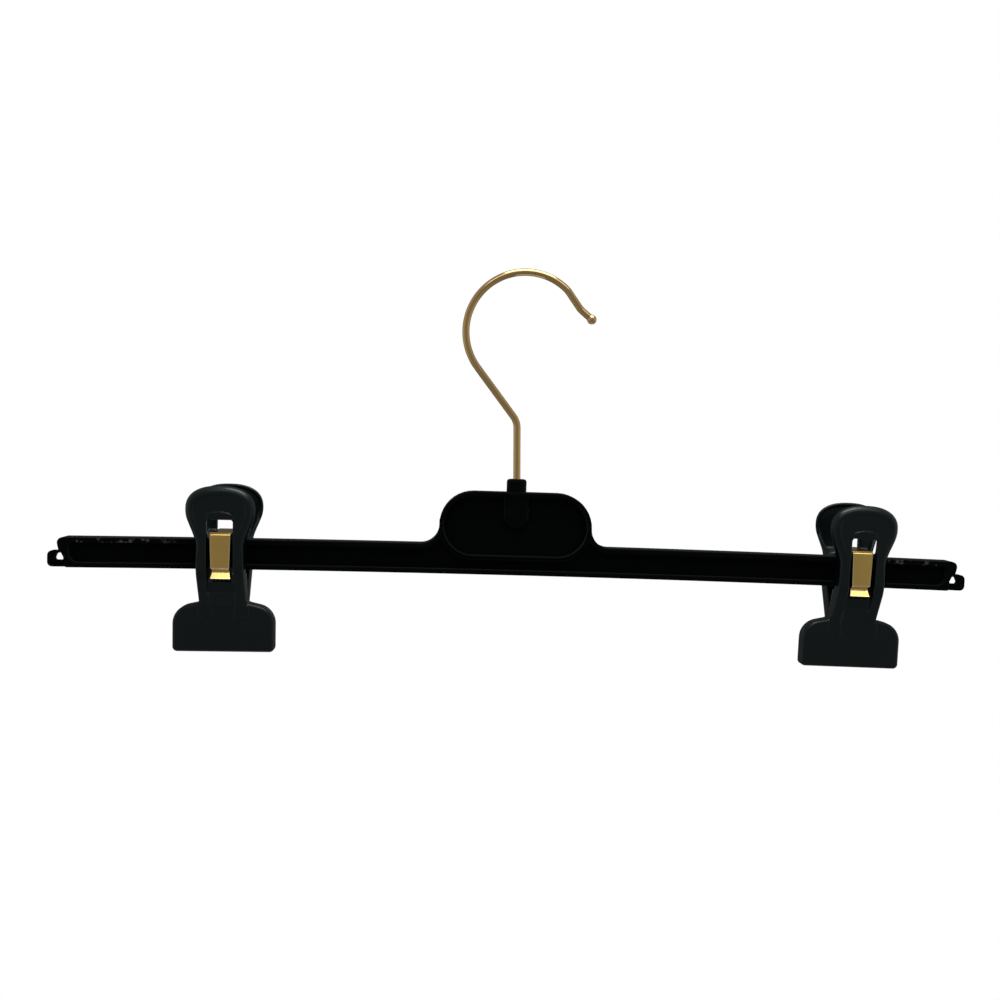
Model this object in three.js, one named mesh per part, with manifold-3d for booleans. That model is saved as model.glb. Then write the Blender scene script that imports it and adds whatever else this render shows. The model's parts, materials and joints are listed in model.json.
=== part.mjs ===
// Trouser and skirt hanger: a flocked bar, a swivel wire hook and two sliding sprung clips.
// Millimetres. X runs along the bar, Y from front (-) to back (+), Z up.
// The origin is the top of the space inside the hook, where the hanger rests on a rail.

import * as THREE from "three";
import { mergeVertices } from "three/addons/utils/BufferGeometryUtils.js";
import Module from "manifold-3d";

const wasm = await Module();
wasm.setup();

// Clearances
const fitGap = 0.3; // between pieces that rest on each other
const boreGap = 0.2; // all round the hook's shank in its bore

// Bar
const barLength = 380;
const barHeight = 12;
const barDepth = 9;
const barSag = 1.75; // the ends of the arched bar hang this far below its middle
const flangeThickness = 2;
const webThickness = 3;
const pocketEnd = 9; // from the end of the bar to its side pocket
const pocketUpperRadius = 1;
const pocketLowerRadius = 4;

// Oval boss in the middle of the bar
const bossWidth = 62.8;
const bossHeight = 28; // above the bar's middle line
const bossRadius = 14;
const bossFillet = 7.5; // where the boss grows out of the bar's top
const rimWidth = 1.8;

// Bar ends: a blunt nose over a thin tab with an eye for garment loops
const tabLength = 4.1; // the tab stands out this far past the nose
const tabThickness = 3.6;
const tabTop = 0.5; // above the bar's middle line
const tabRadius = 2;
const noseRadius = 2.2;
const noseLean = 1.3; // the nose leans in by this much towards the tab
const stepBack = 7.7; // the full depth of the lower bar stops this far from its end
const eyeTop = -0.5;
const eyeBottom = -3.5;
const eyeInner = 7; // the eye's lower corners, from the end of the bar
const eyeOuter = 2.2;
const eyeCrown = 2; // width of its narrower top
const eyeLean = 0.5; // the top lies this far out from the slit
const eyeRadius = 0.8;
const slitWidth = 0.6; // from the nose to the tab

// Hook
const wireDiameter = 3;
const hookRadius = 24.4; // to the middle of the wire
const hookOffset = 1.5; // centre of the hook's curve, sideways from the shank
const hookRise = 36.6; // centre of the hook's curve above the bend
const shankLength = 23.7; // from the collar to the bend
const shankLean = 0.7;
const bendRadius = 8;
const curveEnd = THREE.MathUtils.degToRad(46); // where the hook's curve ends, above level
const mouthRun = 9.25;
const mouthAngle = THREE.MathUtils.degToRad(36.2); // the mouth's run, from straight down
const tipRun = 6.2;
const tipAngle = THREE.MathUtils.degToRad(50.5); // the tip's run, from straight down
const tipDiameter = 3.9;
const headLip = 0.8; // the head at the shank's foot stands out by this much
const headHeight = 2.4;

// Seat of the hook in the boss
const collarHeight = 5.4;
const collarWall = 2.4;
const collarRadius = 1.2; // round of the collar's top edge
const tongueWall = 2.3;
const tongueSkin = 1.2; // front and back wall round the head
const tongueBottom = 13.6; // above the bar's middle line
const headCeiling = 8.8; // from the top of the boss down to the head's chamber

// Clips: depths run outwards from the bar's middle plane, heights from its middle line
const clipPlaces = { left: -118.8, right: 142.7 };
const springWidth = 8.6;
const springThickness = 0.6;
const springBend = 1.5;
const springStep = 1.9; // the legs step in by this much to press on the sills
const bridgeGap = 2.85; // from the bar's top to the underside of the spring's bridge
const legFoot = 1; // the leg's straight face stops this far above the bar's underside
const stepDrop = 1.2;
const pressRun = 0.7; // straight stretch that presses on the sill
const kickDrop = 2.45;
const kickReach = 1.4; // the foot ends this far out from the pressing stretch
const springSideGap = 1;
const columnWidth = 4.25; // of the jaw on each side of its window
const windowHeadroom = 5.15; // above the spring's bridge
const windowRadius = 1;
const sillWall = 2.5;
const sillStand = 1.4; // the sill's top edge above the bar's underside
const sillDrop = 3.4; // the sill's bottom below the bar's underside
const rampDrop = 9.2; // the recess below the sill runs out this far below the bar's underside
const springRecess = 1.2; // from the jaw's face in to the spring's leg
const barClearance = 0.9;
const underGap = 1.2; // between the bar's underside and the slope inside the jaw
const fulcrumRadius = 1.2;
const fulcrumDrop = 1; // below the bar's top
const paddleWidth = 27.8;
const paddleTop = 22.2; // above the bar's top
const paddleRise = 9.7; // from the paddle's widest level to its top
const paddlePower = 2.4; // superellipse exponent of the paddle's top
const paddleNeck = 15.5; // length over which the paddle narrows to the stem
const paddleFlare = 1; // the paddle's top stands out from the face by this much
const paddleDepth = 3.7;
const paddleWall = 1.5;
const paddleSkin = 2.4;
const paddleEdge = 1.2;
const kneeDrop = 1; // below the bar's underside the face turns in
const kneeSet = 0.5;
const kneeRadius = 12;
const stemEnd = 15.3; // the stem's face meets the plate this far below the bar's underside
const stemDepth = 5.6; // of the face just above that
const stemRadius = 2;
const ledgeReach = 2.1; // how far the stem reaches in under the bar
const ribWidth = 6.4; // low round-ended ribs that run on down the plate from the stem's sides
const ribStand = 0.5;
const ribEnd = 22.6; // below the bar's underside
const plateWidth = 41.4;
const plateThickness = 3.15;
const plateBottom = 34.35; // below the bar's underside
const shoulderHigh = 13.8; // the plate's sloping shoulder, below the bar's underside
const shoulderLow = 16.5;
const shoulderRadius = 8;
const shoulderFillet = 2;
const plateRadius = 2;
const plateInnerTop = 10.5; // the flat gripping face ends this far below the bar's underside
const ridgeCount = 6;
const ridgePitch = 2.4;
const ridgeGroove = 1;
const ridgeDepth = 0.5;
const ridgeMargin = 2; // from the plate's bottom edge to the first groove

// Fineness of curves
const arcStep = THREE.MathUtils.degToRad(12);
const archStep = 20;
const wireSides = 10;
const wireSteps = 96;
const roundSides = 20;
const curveSteps = 10;
const overrun = 1; // cutting shapes run past the faces they cut by this much

const halfLength = barLength / 2;
const halfHeight = barHeight / 2;
const halfDepth = barDepth / 2;
const halfBoss = bossWidth / 2;
const middle = new THREE.Vector2();

const boreDiameter = wireDiameter + 2 * boreGap;
const headDiameter = wireDiameter + 2 * headLip;
const chamberDiameter = headDiameter + 2 * fitGap;
const collarDiameter = boreDiameter + 2 * collarWall;
const collarTop = bossHeight + collarHeight;
const chamberTop = bossHeight - headCeiling;
const headTop = chamberTop - fitGap;
const headBottom = headTop - headHeight;
const chamberBottom = headBottom - fitGap;

const bendHeight = collarTop + shankLength;
const hookCentre = new THREE.Vector2(hookOffset, bendHeight + hookRise);
const railSeat = hookCentre.y + hookRadius - wireDiameter / 2;

const jawInner = halfDepth + barClearance;
const sillFace = jawInner + sillWall;
const pressDepth = sillFace + fitGap + springThickness / 2;
const legDepth = pressDepth + springStep;
const faceDepth = legDepth + springThickness / 2 + springRecess;
const bridgeHeight = halfHeight + bridgeGap + springThickness / 2;
const windowTop = bridgeHeight + springThickness / 2 + windowHeadroom;
const windowWidth = springWidth + 2 * springSideGap;
const stemWidth = windowWidth + 2 * columnWidth;
const padTop = halfHeight + paddleTop;
const padInner = faceDepth + paddleFlare - paddleDepth;
const gripFace = fitGap / 2; // half of the gap between the two jaws

const flock = { color: 0x08090a, roughness: 0.95, metalness: 0 };
const gold = { color: 0xb08d4a, roughness: 0.3, metalness: 1 };
const plastic = { color: 0x121819, roughness: 0.42, metalness: 0 };

// A closed solid of a three.js geometry.
function solid(geometry) {
  geometry.deleteAttribute("normal");
  geometry.deleteAttribute("uv");
  const merged = mergeVertices(geometry);
  return new wasm.Manifold(new wasm.Mesh({
    numProp: 3,
    vertProperties: Float32Array.from(merged.attributes.position.array),
    triVerts: Uint32Array.from(merged.index.array),
  }));
}

// The named mesh of a finished solid.
function piece(name, body, finish) {
  const { vertProperties, triVerts } = body.getMesh();
  const geometry = new THREE.BufferGeometry();
  geometry.setAttribute("position", new THREE.BufferAttribute(vertProperties, 3));
  geometry.setIndex(new THREE.BufferAttribute(triVerts, 1));
  geometry.computeVertexNormals();
  const mesh = new THREE.Mesh(geometry, new THREE.MeshStandardMaterial(finish));
  mesh.name = name;
  return mesh;
}

// Points along an outline of corners [across, up, radius], each corner turned into its fillet.
function rounded(corners, closed = true) {
  return corners.flatMap(([across, up, radius = 0], index) => {
    const corner = new THREE.Vector2(across, up);
    const isEnd = !closed && (index === 0 || index === corners.length - 1);
    if (isEnd || radius === 0) return [corner];
    const before = corners.at(index - 1);
    const after = corners[(index + 1) % corners.length];
    const back = new THREE.Vector2(before[0], before[1]).sub(corner).normalize();
    const ahead = new THREE.Vector2(after[0], after[1]).sub(corner).normalize();
    const halfAngle = Math.acos(back.dot(ahead)) / 2;
    const centre = back.clone().add(ahead).setLength(radius / Math.sin(halfAngle)).add(corner);
    const start = back.clone().multiplyScalar(radius / Math.tan(halfAngle)).add(corner).sub(centre);
    const turn = (Math.PI - 2 * halfAngle) * -Math.sign(back.cross(ahead));
    const steps = Math.max(2, Math.ceil(Math.abs(turn) / arcStep));
    return Array.from({ length: steps + 1 }, (_, step) =>
      start.clone().rotateAround(middle, (turn * step) / steps).add(centre));
  });
}

// The same outline on the other side of the middle plane.
function mirrored(corners) {
  return corners.map(([across, ...rest]) => [-across, ...rest]).reverse();
}

// How far the arched bar lies below its middle at a place along it, and its slope there.
const archDrop = (along) => barSag * (along / halfLength) ** 2;
const archSlope = (along) => (-2 * barSag * along) / halfLength ** 2;

// An outline's points bent to the arch of the bar, with long edges divided.
function arched(points) {
  return points.flatMap((point, index) => {
    const next = points[(index + 1) % points.length];
    const parts = Math.max(1, Math.ceil(Math.abs(next.x - point.x) / archStep));
    return Array.from({ length: parts }, (_, part) => {
      const spot = point.clone().lerp(next, part / parts);
      return spot.setY(spot.y - archDrop(spot.x));
    });
  });
}

// A front outline carried from one depth to another.
function frontSolid(points, front, back) {
  const geometry = new THREE.ExtrudeGeometry(new THREE.Shape(points), {
    depth: back - front,
    bevelEnabled: false,
  });
  geometry.rotateX(Math.PI / 2).translate(0, back, 0);
  return solid(geometry);
}

// A side profile of depths (outwards at the front) and heights, carried across a width.
const sideBasis = new THREE.Matrix4().makeBasis(
  new THREE.Vector3(0, -1, 0), new THREE.Vector3(0, 0, 1), new THREE.Vector3(-1, 0, 0));
function sideSolid(points, width) {
  const geometry = new THREE.ExtrudeGeometry(new THREE.Shape(points), {
    depth: width,
    bevelEnabled: false,
  });
  geometry.applyMatrix4(sideBasis).translate(width / 2, 0, 0);
  return solid(geometry);
}

// A solid turned about the vertical axis from a profile of radii and heights.
function turned(profile) {
  const points = profile.map(([radius, height]) => new THREE.Vector2(radius, height));
  return solid(new THREE.LatheGeometry(points, roundSides).rotateX(Math.PI / 2));
}

// A plain round stub between two heights.
function stub(diameter, bottom, top) {
  return turned([[0, bottom], [diameter / 2, bottom], [diameter / 2, top], [0, top]]);
}

// The boss's outline, drawn in from its rim by a margin.
function ovalOutline(margin) {
  const across = halfBoss - margin;
  const radius = bossRadius - margin;
  const low = bossHeight - 2 * bossRadius + margin;
  const high = bossHeight - margin;
  const half = [[across, low, radius], [across, high, radius]];
  return rounded([...half, ...mirrored(half)]);
}

// The bar's full-depth outline: right half, from the bottom up to the boss.
function barHalf() {
  const noseEnd = halfLength - tabLength;
  const lowEnd = halfLength - stepBack;
  return [
    [lowEnd, -halfHeight],
    [lowEnd, eyeTop],
    [noseEnd - noseLean, tabTop],
    [noseEnd, halfHeight, noseRadius],
    [halfBoss, halfHeight, bossFillet],
    [halfBoss, bossHeight, bossRadius],
  ];
}

// The sunk panel along the bar's side: right half, up to the boss's rim.
function pocketHalf() {
  const end = halfLength - pocketEnd;
  const level = halfHeight - flangeThickness;
  const bossSide = halfBoss - flangeThickness;
  return [
    [end, -level, pocketLowerRadius],
    [end, level, pocketUpperRadius],
    [bossSide, level, bossFillet + flangeThickness],
    [bossSide, bossHeight - bossRadius],
  ];
}

// The thin tab at the bar's right end, with its eye and the slit that leads into it.
function tabSolid() {
  const root = halfLength - pocketEnd;
  const slitSide = halfLength - tabLength - noseLean;
  const tab = rounded([
    [root, -halfHeight],
    [halfLength, -halfHeight, tabRadius],
    [halfLength, tabTop, tabRadius],
    [root, tabTop],
  ]);
  const eye = rounded([
    [halfLength - eyeInner, eyeBottom, eyeRadius],
    [halfLength - eyeOuter, eyeBottom, eyeRadius],
    [slitSide + eyeLean + (slitWidth + eyeCrown) / 2, eyeTop, eyeRadius],
    [slitSide + eyeLean + (slitWidth - eyeCrown) / 2, eyeTop, eyeRadius],
  ]);
  const slit = rounded([
    [slitSide, (eyeTop + eyeBottom) / 2],
    [slitSide + slitWidth, (eyeTop + eyeBottom) / 2],
    [slitSide + slitWidth, tabTop + overrun],
    [slitSide, tabTop + overrun],
  ]);
  const cut = tabThickness / 2 + overrun;
  return frontSolid(arched(tab), -tabThickness / 2, tabThickness / 2)
    .subtract(frontSolid(arched(eye), -cut, cut))
    .subtract(frontSolid(arched(slit), -cut, cut));
}

// Seat of the hook: the tongue inside the boss and the collar on top of it.
function hookSeat() {
  const tongue = chamberDiameter / 2 + tongueWall;
  const thickness = chamberDiameter / 2 + tongueSkin;
  const top = bossHeight - rimWidth / 2;
  const outline = rounded([
    [-tongue, tongueBottom, tongue],
    [tongue, tongueBottom, tongue],
    [tongue, top],
    [-tongue, top],
  ]);
  const edge = rounded([
    [collarDiameter / 2, bossHeight - rimWidth],
    [collarDiameter / 2, collarTop, collarRadius],
    [0, collarTop],
  ], false);
  const profile = [[0, bossHeight - rimWidth], ...edge.map(({ x, y }) => [x, y])];
  return frontSolid(outline, -thickness, thickness).add(turned(profile));
}

// Bore of the hook with the head's chamber, which opens through the back of the tongue.
function hookBore() {
  const half = chamberDiameter / 2;
  const doorway = rounded([
    [-half, chamberBottom],
    [half, chamberBottom],
    [half, chamberTop],
    [-half, chamberTop],
  ]);
  return stub(boreDiameter, (chamberTop + chamberBottom) / 2, collarTop + overrun)
    .add(stub(chamberDiameter, chamberBottom, chamberTop))
    .add(frontSolid(doorway, 0, halfDepth + overrun));
}

function makeBar() {
  const half = barHalf();
  const panel = pocketHalf();
  const outline = arched(rounded([...half, ...mirrored(half)]));
  const floor = webThickness / 2;
  const oval = frontSolid(ovalOutline(0), -halfDepth - overrun, halfDepth + overrun);
  const recess = ovalOutline(rimWidth);
  let bar = frontSolid(outline, -halfDepth, halfDepth);
  for (const [front, back] of [[-halfDepth - overrun, -floor], [floor, halfDepth + overrun]]) {
    const pocket = frontSolid(arched(rounded([...panel, ...mirrored(panel)])), front, back);
    bar = bar.subtract(pocket.subtract(oval)).subtract(frontSolid(recess, front, back));
  }
  const tab = tabSolid();
  bar = bar.add(tab).add(tab.mirror([1, 0, 0]));
  return piece("hanger_bar", bar.add(hookSeat()).subtract(hookBore()), flock);
}

// Centre line of the hook: up the shank, round the curve and out along the tip.
function hookLine() {
  const bend = new THREE.Vector2(-shankLean, bendHeight);
  const reach = bend.clone().sub(hookCentre);
  const curveStart = reach.angle() - Math.acos(hookRadius / reach.length());
  const onCurve = (angle) =>
    new THREE.Vector2(Math.cos(angle), Math.sin(angle)).multiplyScalar(hookRadius).add(hookCentre);
  const steps = Math.ceil((curveStart - curveEnd) / arcStep);
  const curve = Array.from({ length: steps + 1 }, (_, step) =>
    onCurve(curveStart + ((curveEnd - curveStart) * step) / steps));
  const leave = curve[steps];
  const mouth = new THREE.Vector2(Math.sin(mouthAngle), -Math.cos(mouthAngle))
    .multiplyScalar(mouthRun).add(leave);
  const tip = new THREE.Vector2(Math.sin(tipAngle), -Math.cos(tipAngle))
    .multiplyScalar(tipRun).add(mouth);
  const shank = rounded([
    [0, headBottom],
    [0, collarTop, shankLength],
    [bend.x, bend.y, bendRadius],
    [curve[0].x, curve[0].y],
  ], false);
  const end = rounded([[leave.x, leave.y], [mouth.x, mouth.y, bendRadius], [tip.x, tip.y]], false);
  return [...shank, ...curve.slice(1, -1), ...end];
}

function makeHook() {
  const line = hookLine().map(({ x, y }) => new THREE.Vector3(x, 0, y));
  const wire = new THREE.Shape().absarc(0, 0, wireDiameter / 2, 0, 2 * Math.PI);
  const rod = solid(new THREE.ExtrudeGeometry(wire, {
    curveSegments: wireSides / 2,
    steps: wireSteps,
    extrudePath: new THREE.CatmullRomCurve3(line, false, "centripetal"),
  }));
  const end = line.at(-1);
  const tip = new THREE.SphereGeometry(tipDiameter / 2, roundSides, roundSides / 2);
  const ball = solid(tip.translate(end.x, end.y, end.z));
  return piece("hook", rod.add(ball).add(stub(headDiameter, headBottom, headTop)), gold);
}

// Centre line of a spring's front half: bridge, leg, step, pressing stretch and kicked-out foot.
function springHalf() {
  const stepTop = legFoot - halfHeight;
  const pressTop = stepTop - stepDrop;
  const pressBottom = pressTop - pressRun;
  return [
    [legDepth, bridgeHeight, springBend],
    [legDepth, stepTop, springThickness],
    [pressDepth, pressTop, springThickness],
    [pressDepth, pressBottom, springThickness],
    [pressDepth + kickReach, pressBottom - kickDrop],
  ];
}

// A strip's outline: its centre line moved out by half a thickness on each side.
function stripOutline(line, thickness) {
  const normals = line.map((point, index) => {
    const before = line[Math.max(index - 1, 0)];
    const after = line[Math.min(index + 1, line.length - 1)];
    const along = after.clone().sub(before).normalize();
    return new THREE.Vector2(-along.y, along.x).multiplyScalar(thickness / 2);
  });
  const one = line.map((point, index) => point.clone().add(normals[index]));
  const other = line.map((point, index) => point.clone().sub(normals[index]));
  return [...one, ...other.reverse()];
}

function springSolid() {
  const half = springHalf();
  const line = rounded([...mirrored(half), ...half], false);
  return sideSolid(stripOutline(line, springThickness), springWidth);
}

// Half width of the jaw's paddle and stem at a height.
function handleHalfWidth(height) {
  const widest = padTop - paddleRise;
  const stem = stemWidth / 2;
  if (height >= widest) {
    const rise = Math.min(1, (height - widest) / paddleRise);
    return (paddleWidth / 2) * (1 - rise ** paddlePower) ** (1 / paddlePower);
  }
  const narrowed = Math.min(1, (widest - height) / paddleNeck);
  return stem + (paddleWidth / 2 - stem) * (1 + Math.cos(Math.PI * narrowed)) / 2;
}

// Front outline of the paddle and the stem below it.
function handleOutline() {
  const widest = padTop - paddleRise;
  const neck = widest - paddleNeck;
  const rise = Array.from({ length: curveSteps }, (_, step) => neck + (paddleNeck * step) / curveSteps);
  const crown = Array.from({ length: 2 * curveSteps }, (_, step) =>
    widest + paddleRise * Math.sin((step / curveSteps) * (Math.PI / 4)));
  const side = [...rise, ...crown].map((height) => [handleHalfWidth(height), height]);
  const foot = [stemWidth / 2, -halfHeight - stemEnd, stemRadius];
  return rounded([...mirrored([foot, ...side, [0, padTop]]), foot, ...side]);
}

// Side profile of the paddle and stem: the outer face down to the stem's end, then the inside back up.
function handleProfile() {
  const under = -halfHeight;
  const fulcrumDepth = halfDepth + fitGap + fulcrumRadius;
  const spread = Math.acos((fulcrumDepth - jawInner) / fulcrumRadius);
  const fulcrum = Array.from({ length: curveSteps + 1 }, (_, step) => {
    const angle = Math.PI + spread - (2 * spread * step) / curveSteps;
    return [
      fulcrumDepth + fulcrumRadius * Math.cos(angle),
      halfHeight - fulcrumDrop + fulcrumRadius * Math.sin(angle),
    ];
  });
  return rounded([
    [padInner, padTop],
    [faceDepth + paddleFlare, padTop, paddleEdge],
    [faceDepth - kneeSet, under - kneeDrop, kneeRadius],
    [stemDepth, under - stemEnd + stemRadius, stemRadius],
    [gripFace + plateThickness, under - stemEnd],
    [gripFace, under - stemEnd],
    [gripFace, under - plateInnerTop],
    [jawInner - ledgeReach, under - underGap],
    [jawInner, under - underGap],
    ...fulcrum,
    [padInner, windowTop],
  ]);
}

// Gripping plate with its sloping shoulders, and the low ribs that run down it.
function plateSolid() {
  const under = -halfHeight;
  const half = [
    [plateWidth / 2, under - plateBottom, plateRadius],
    [plateWidth / 2, under - shoulderLow, shoulderRadius],
    [stemWidth / 2, under - shoulderHigh, shoulderFillet],
    [stemWidth / 2, under - plateInnerTop],
  ];
  const outline = rounded([...half, ...mirrored(half)]);
  const slab = gripFace + plateThickness;
  const inside = (windowWidth + columnWidth - ribWidth) / 2;
  const rib = frontSolid(rounded([
    [inside, under - ribEnd, ribWidth / 2],
    [inside + ribWidth, under - ribEnd, ribWidth / 2],
    [inside + ribWidth, under],
    [inside, under],
  ]), -slab - ribStand, -gripFace).intersect(frontSolid(outline, -slab - ribStand, 0));
  return frontSolid(outline, -slab, -gripFace).add(rib).add(rib.mirror([1, 0, 0]));
}

// What is cut from the middle of the stem: the window, and the recess that ramps out below the sill.
function windowCut() {
  const under = -halfHeight;
  const outside = faceDepth + paddleFlare + overrun;
  const ramp = THREE.MathUtils.mapLinear(
    rampDrop, kneeDrop, stemEnd - stemRadius, faceDepth - kneeSet, stemDepth);
  const profile = rounded([
    [0, windowTop],
    [outside, windowTop],
    [outside, under - rampDrop],
    [ramp, under - rampDrop],
    [sillFace, under - sillDrop],
    [sillFace, under + sillStand],
    [0, under + sillStand],
  ]);
  const half = [[windowWidth / 2, under - rampDrop], [windowWidth / 2, windowTop, windowRadius]];
  const outline = rounded([...half, ...mirrored(half)]);
  return sideSolid(profile, windowWidth + overrun).intersect(frontSolid(outline, -outside, 0));
}

// Hollow behind the paddle's skin.
function paddleHollow() {
  const low = windowTop + paddleWall;
  const rise = padTop - paddleWall - low;
  const half = Array.from({ length: curveSteps + 1 }, (_, step) => {
    const height = low + rise * Math.sin((step / curveSteps) * (Math.PI / 2));
    return [handleHalfWidth(height) - paddleWall, height];
  });
  const depth = faceDepth + paddleFlare - paddleSkin;
  return frontSolid(rounded([...half, ...mirrored(half)]), -depth, -padInner + overrun);
}

// The front jaw of a clip; the rear jaw is the same piece turned round.
function jawSolid() {
  const outside = faceDepth + paddleFlare + overrun;
  const handle = frontSolid(handleOutline(), -outside, 0)
    .intersect(sideSolid(handleProfile(), paddleWidth + overrun))
    .subtract(windowCut())
    .subtract(paddleHollow());
  let jaw = handle.add(plateSolid());
  for (let ridge = 0; ridge < ridgeCount; ridge += 1) {
    const low = -halfHeight - plateBottom + ridgeMargin + ridge * ridgePitch;
    const groove = rounded([
      [0, low],
      [gripFace + ridgeDepth, low],
      [gripFace + ridgeDepth, low + ridgeGroove],
      [0, low + ridgeGroove],
    ]);
    jaw = jaw.subtract(sideSolid(groove, plateWidth + overrun));
  }
  return jaw;
}

// A clip, square to the arched bar at its place: two jaws and the spring that closes them.
function makeClip(side, place) {
  const clip = new THREE.Group();
  const jaw = jawSolid();
  const rear = piece(`${side}_rear_jaw`, jaw, plastic);
  rear.rotation.z = Math.PI;
  clip.add(piece(`${side}_front_jaw`, jaw, plastic), rear, piece(`${side}_spring`, springSolid(), gold));
  clip.position.set(place, 0, -archDrop(place));
  clip.rotation.y = -Math.atan(archSlope(place));
  return clip;
}

const hanger = new THREE.Group();
hanger.add(makeBar(), makeHook());
for (const [side, place] of Object.entries(clipPlaces)) hanger.add(makeClip(side, place));
hanger.position.set(-hookCentre.x, 0, -railSeat);

export default hanger;
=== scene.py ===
"""Looks of the clip hanger: a flocked bar, a gold swivel hook and two sliding sprung clips.

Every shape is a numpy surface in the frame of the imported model, in metres: +X along the bar, +Y from the
front to the back, +Z up.  A clip's pieces are worked out in its own frame, as places across the clip, depths
out from the bar's middle plane and heights above the bar's middle line, and are then set on the bar.
"""

import json
import math
from typing import NamedTuple

import bpy
import numpy as np
from bpy.props import FloatProperty, FloatVectorProperty, PointerProperty
from bpy.types import Operator, Panel, PropertyGroup
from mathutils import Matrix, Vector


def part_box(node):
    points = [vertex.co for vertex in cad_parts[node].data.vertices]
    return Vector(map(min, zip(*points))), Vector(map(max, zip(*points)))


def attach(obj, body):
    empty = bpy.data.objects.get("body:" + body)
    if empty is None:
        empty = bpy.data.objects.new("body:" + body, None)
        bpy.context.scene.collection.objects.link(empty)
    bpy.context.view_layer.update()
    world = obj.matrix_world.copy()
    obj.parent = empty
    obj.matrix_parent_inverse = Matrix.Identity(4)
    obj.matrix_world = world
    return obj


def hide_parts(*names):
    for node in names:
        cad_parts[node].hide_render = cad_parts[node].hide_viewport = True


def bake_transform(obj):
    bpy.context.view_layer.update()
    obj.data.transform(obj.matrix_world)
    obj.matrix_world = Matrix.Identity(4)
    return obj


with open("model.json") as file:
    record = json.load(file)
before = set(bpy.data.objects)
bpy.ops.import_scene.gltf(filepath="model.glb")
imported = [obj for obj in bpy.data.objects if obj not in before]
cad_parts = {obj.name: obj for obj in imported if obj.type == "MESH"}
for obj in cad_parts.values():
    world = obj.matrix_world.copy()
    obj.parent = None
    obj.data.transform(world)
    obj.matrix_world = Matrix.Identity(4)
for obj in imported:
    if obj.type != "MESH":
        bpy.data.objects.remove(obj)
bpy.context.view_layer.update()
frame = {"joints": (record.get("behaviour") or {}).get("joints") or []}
BAR_BOX = np.array([list(corner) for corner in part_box("hanger_bar")])
JOINTS = {joint["name"]: joint for joint in frame["joints"]}

bl_info = {
    "name": "Clip hanger",
    "version": (1, 0, 0),
    "blender": (4, 5, 0),
    "location": "View3D > Sidebar > Hanger",
    "description": "Builds the looks of a clip hanger around its packed model",
    "category": "Object",
}

MM = 0.001
SIDES = ("left", "right")
JAWS = ("front", "rear")
SHARP_ANGLE = math.radians(38)
WHITE = (1, 1, 1, 1)
SENSOR = 36
# Name of the attribute that tells where a spring's edges and bends get a painted highlight
PAINTED_HIGHLIGHT = "rim"
# Keeps faces apart that would lie in one plane
TINY = 0.02 * MM
# Depth of the trough between the ribs of a jaw's stem
TROUGH = 0.4 * MM


def length(name, description, millimetres):
    """A length setting: given in millimetres, kept in metres."""
    return FloatProperty(
        name=name, description=description, default=millimetres * MM, min=0, unit="LENGTH", precision=5
    )


def angle(name, description, degrees):
    """An angle setting: given in degrees, kept in radians."""
    return FloatProperty(name=name, description=description, default=math.radians(degrees), subtype="ANGLE")


def wattage(name, description, watts):
    """A setting for a lamp's power."""
    return FloatProperty(name=name, description=description, default=watts, min=0, unit="POWER")


def share(name, description, default):
    """A setting between nothing and all."""
    return FloatProperty(name=name, description=description, default=default, min=0, max=1, subtype="FACTOR")


def colour(name, description, default):
    """A linear colour setting."""
    return FloatVectorProperty(
        name=name, description=description, default=default, min=0, max=1, size=3, subtype="COLOR"
    )


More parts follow.
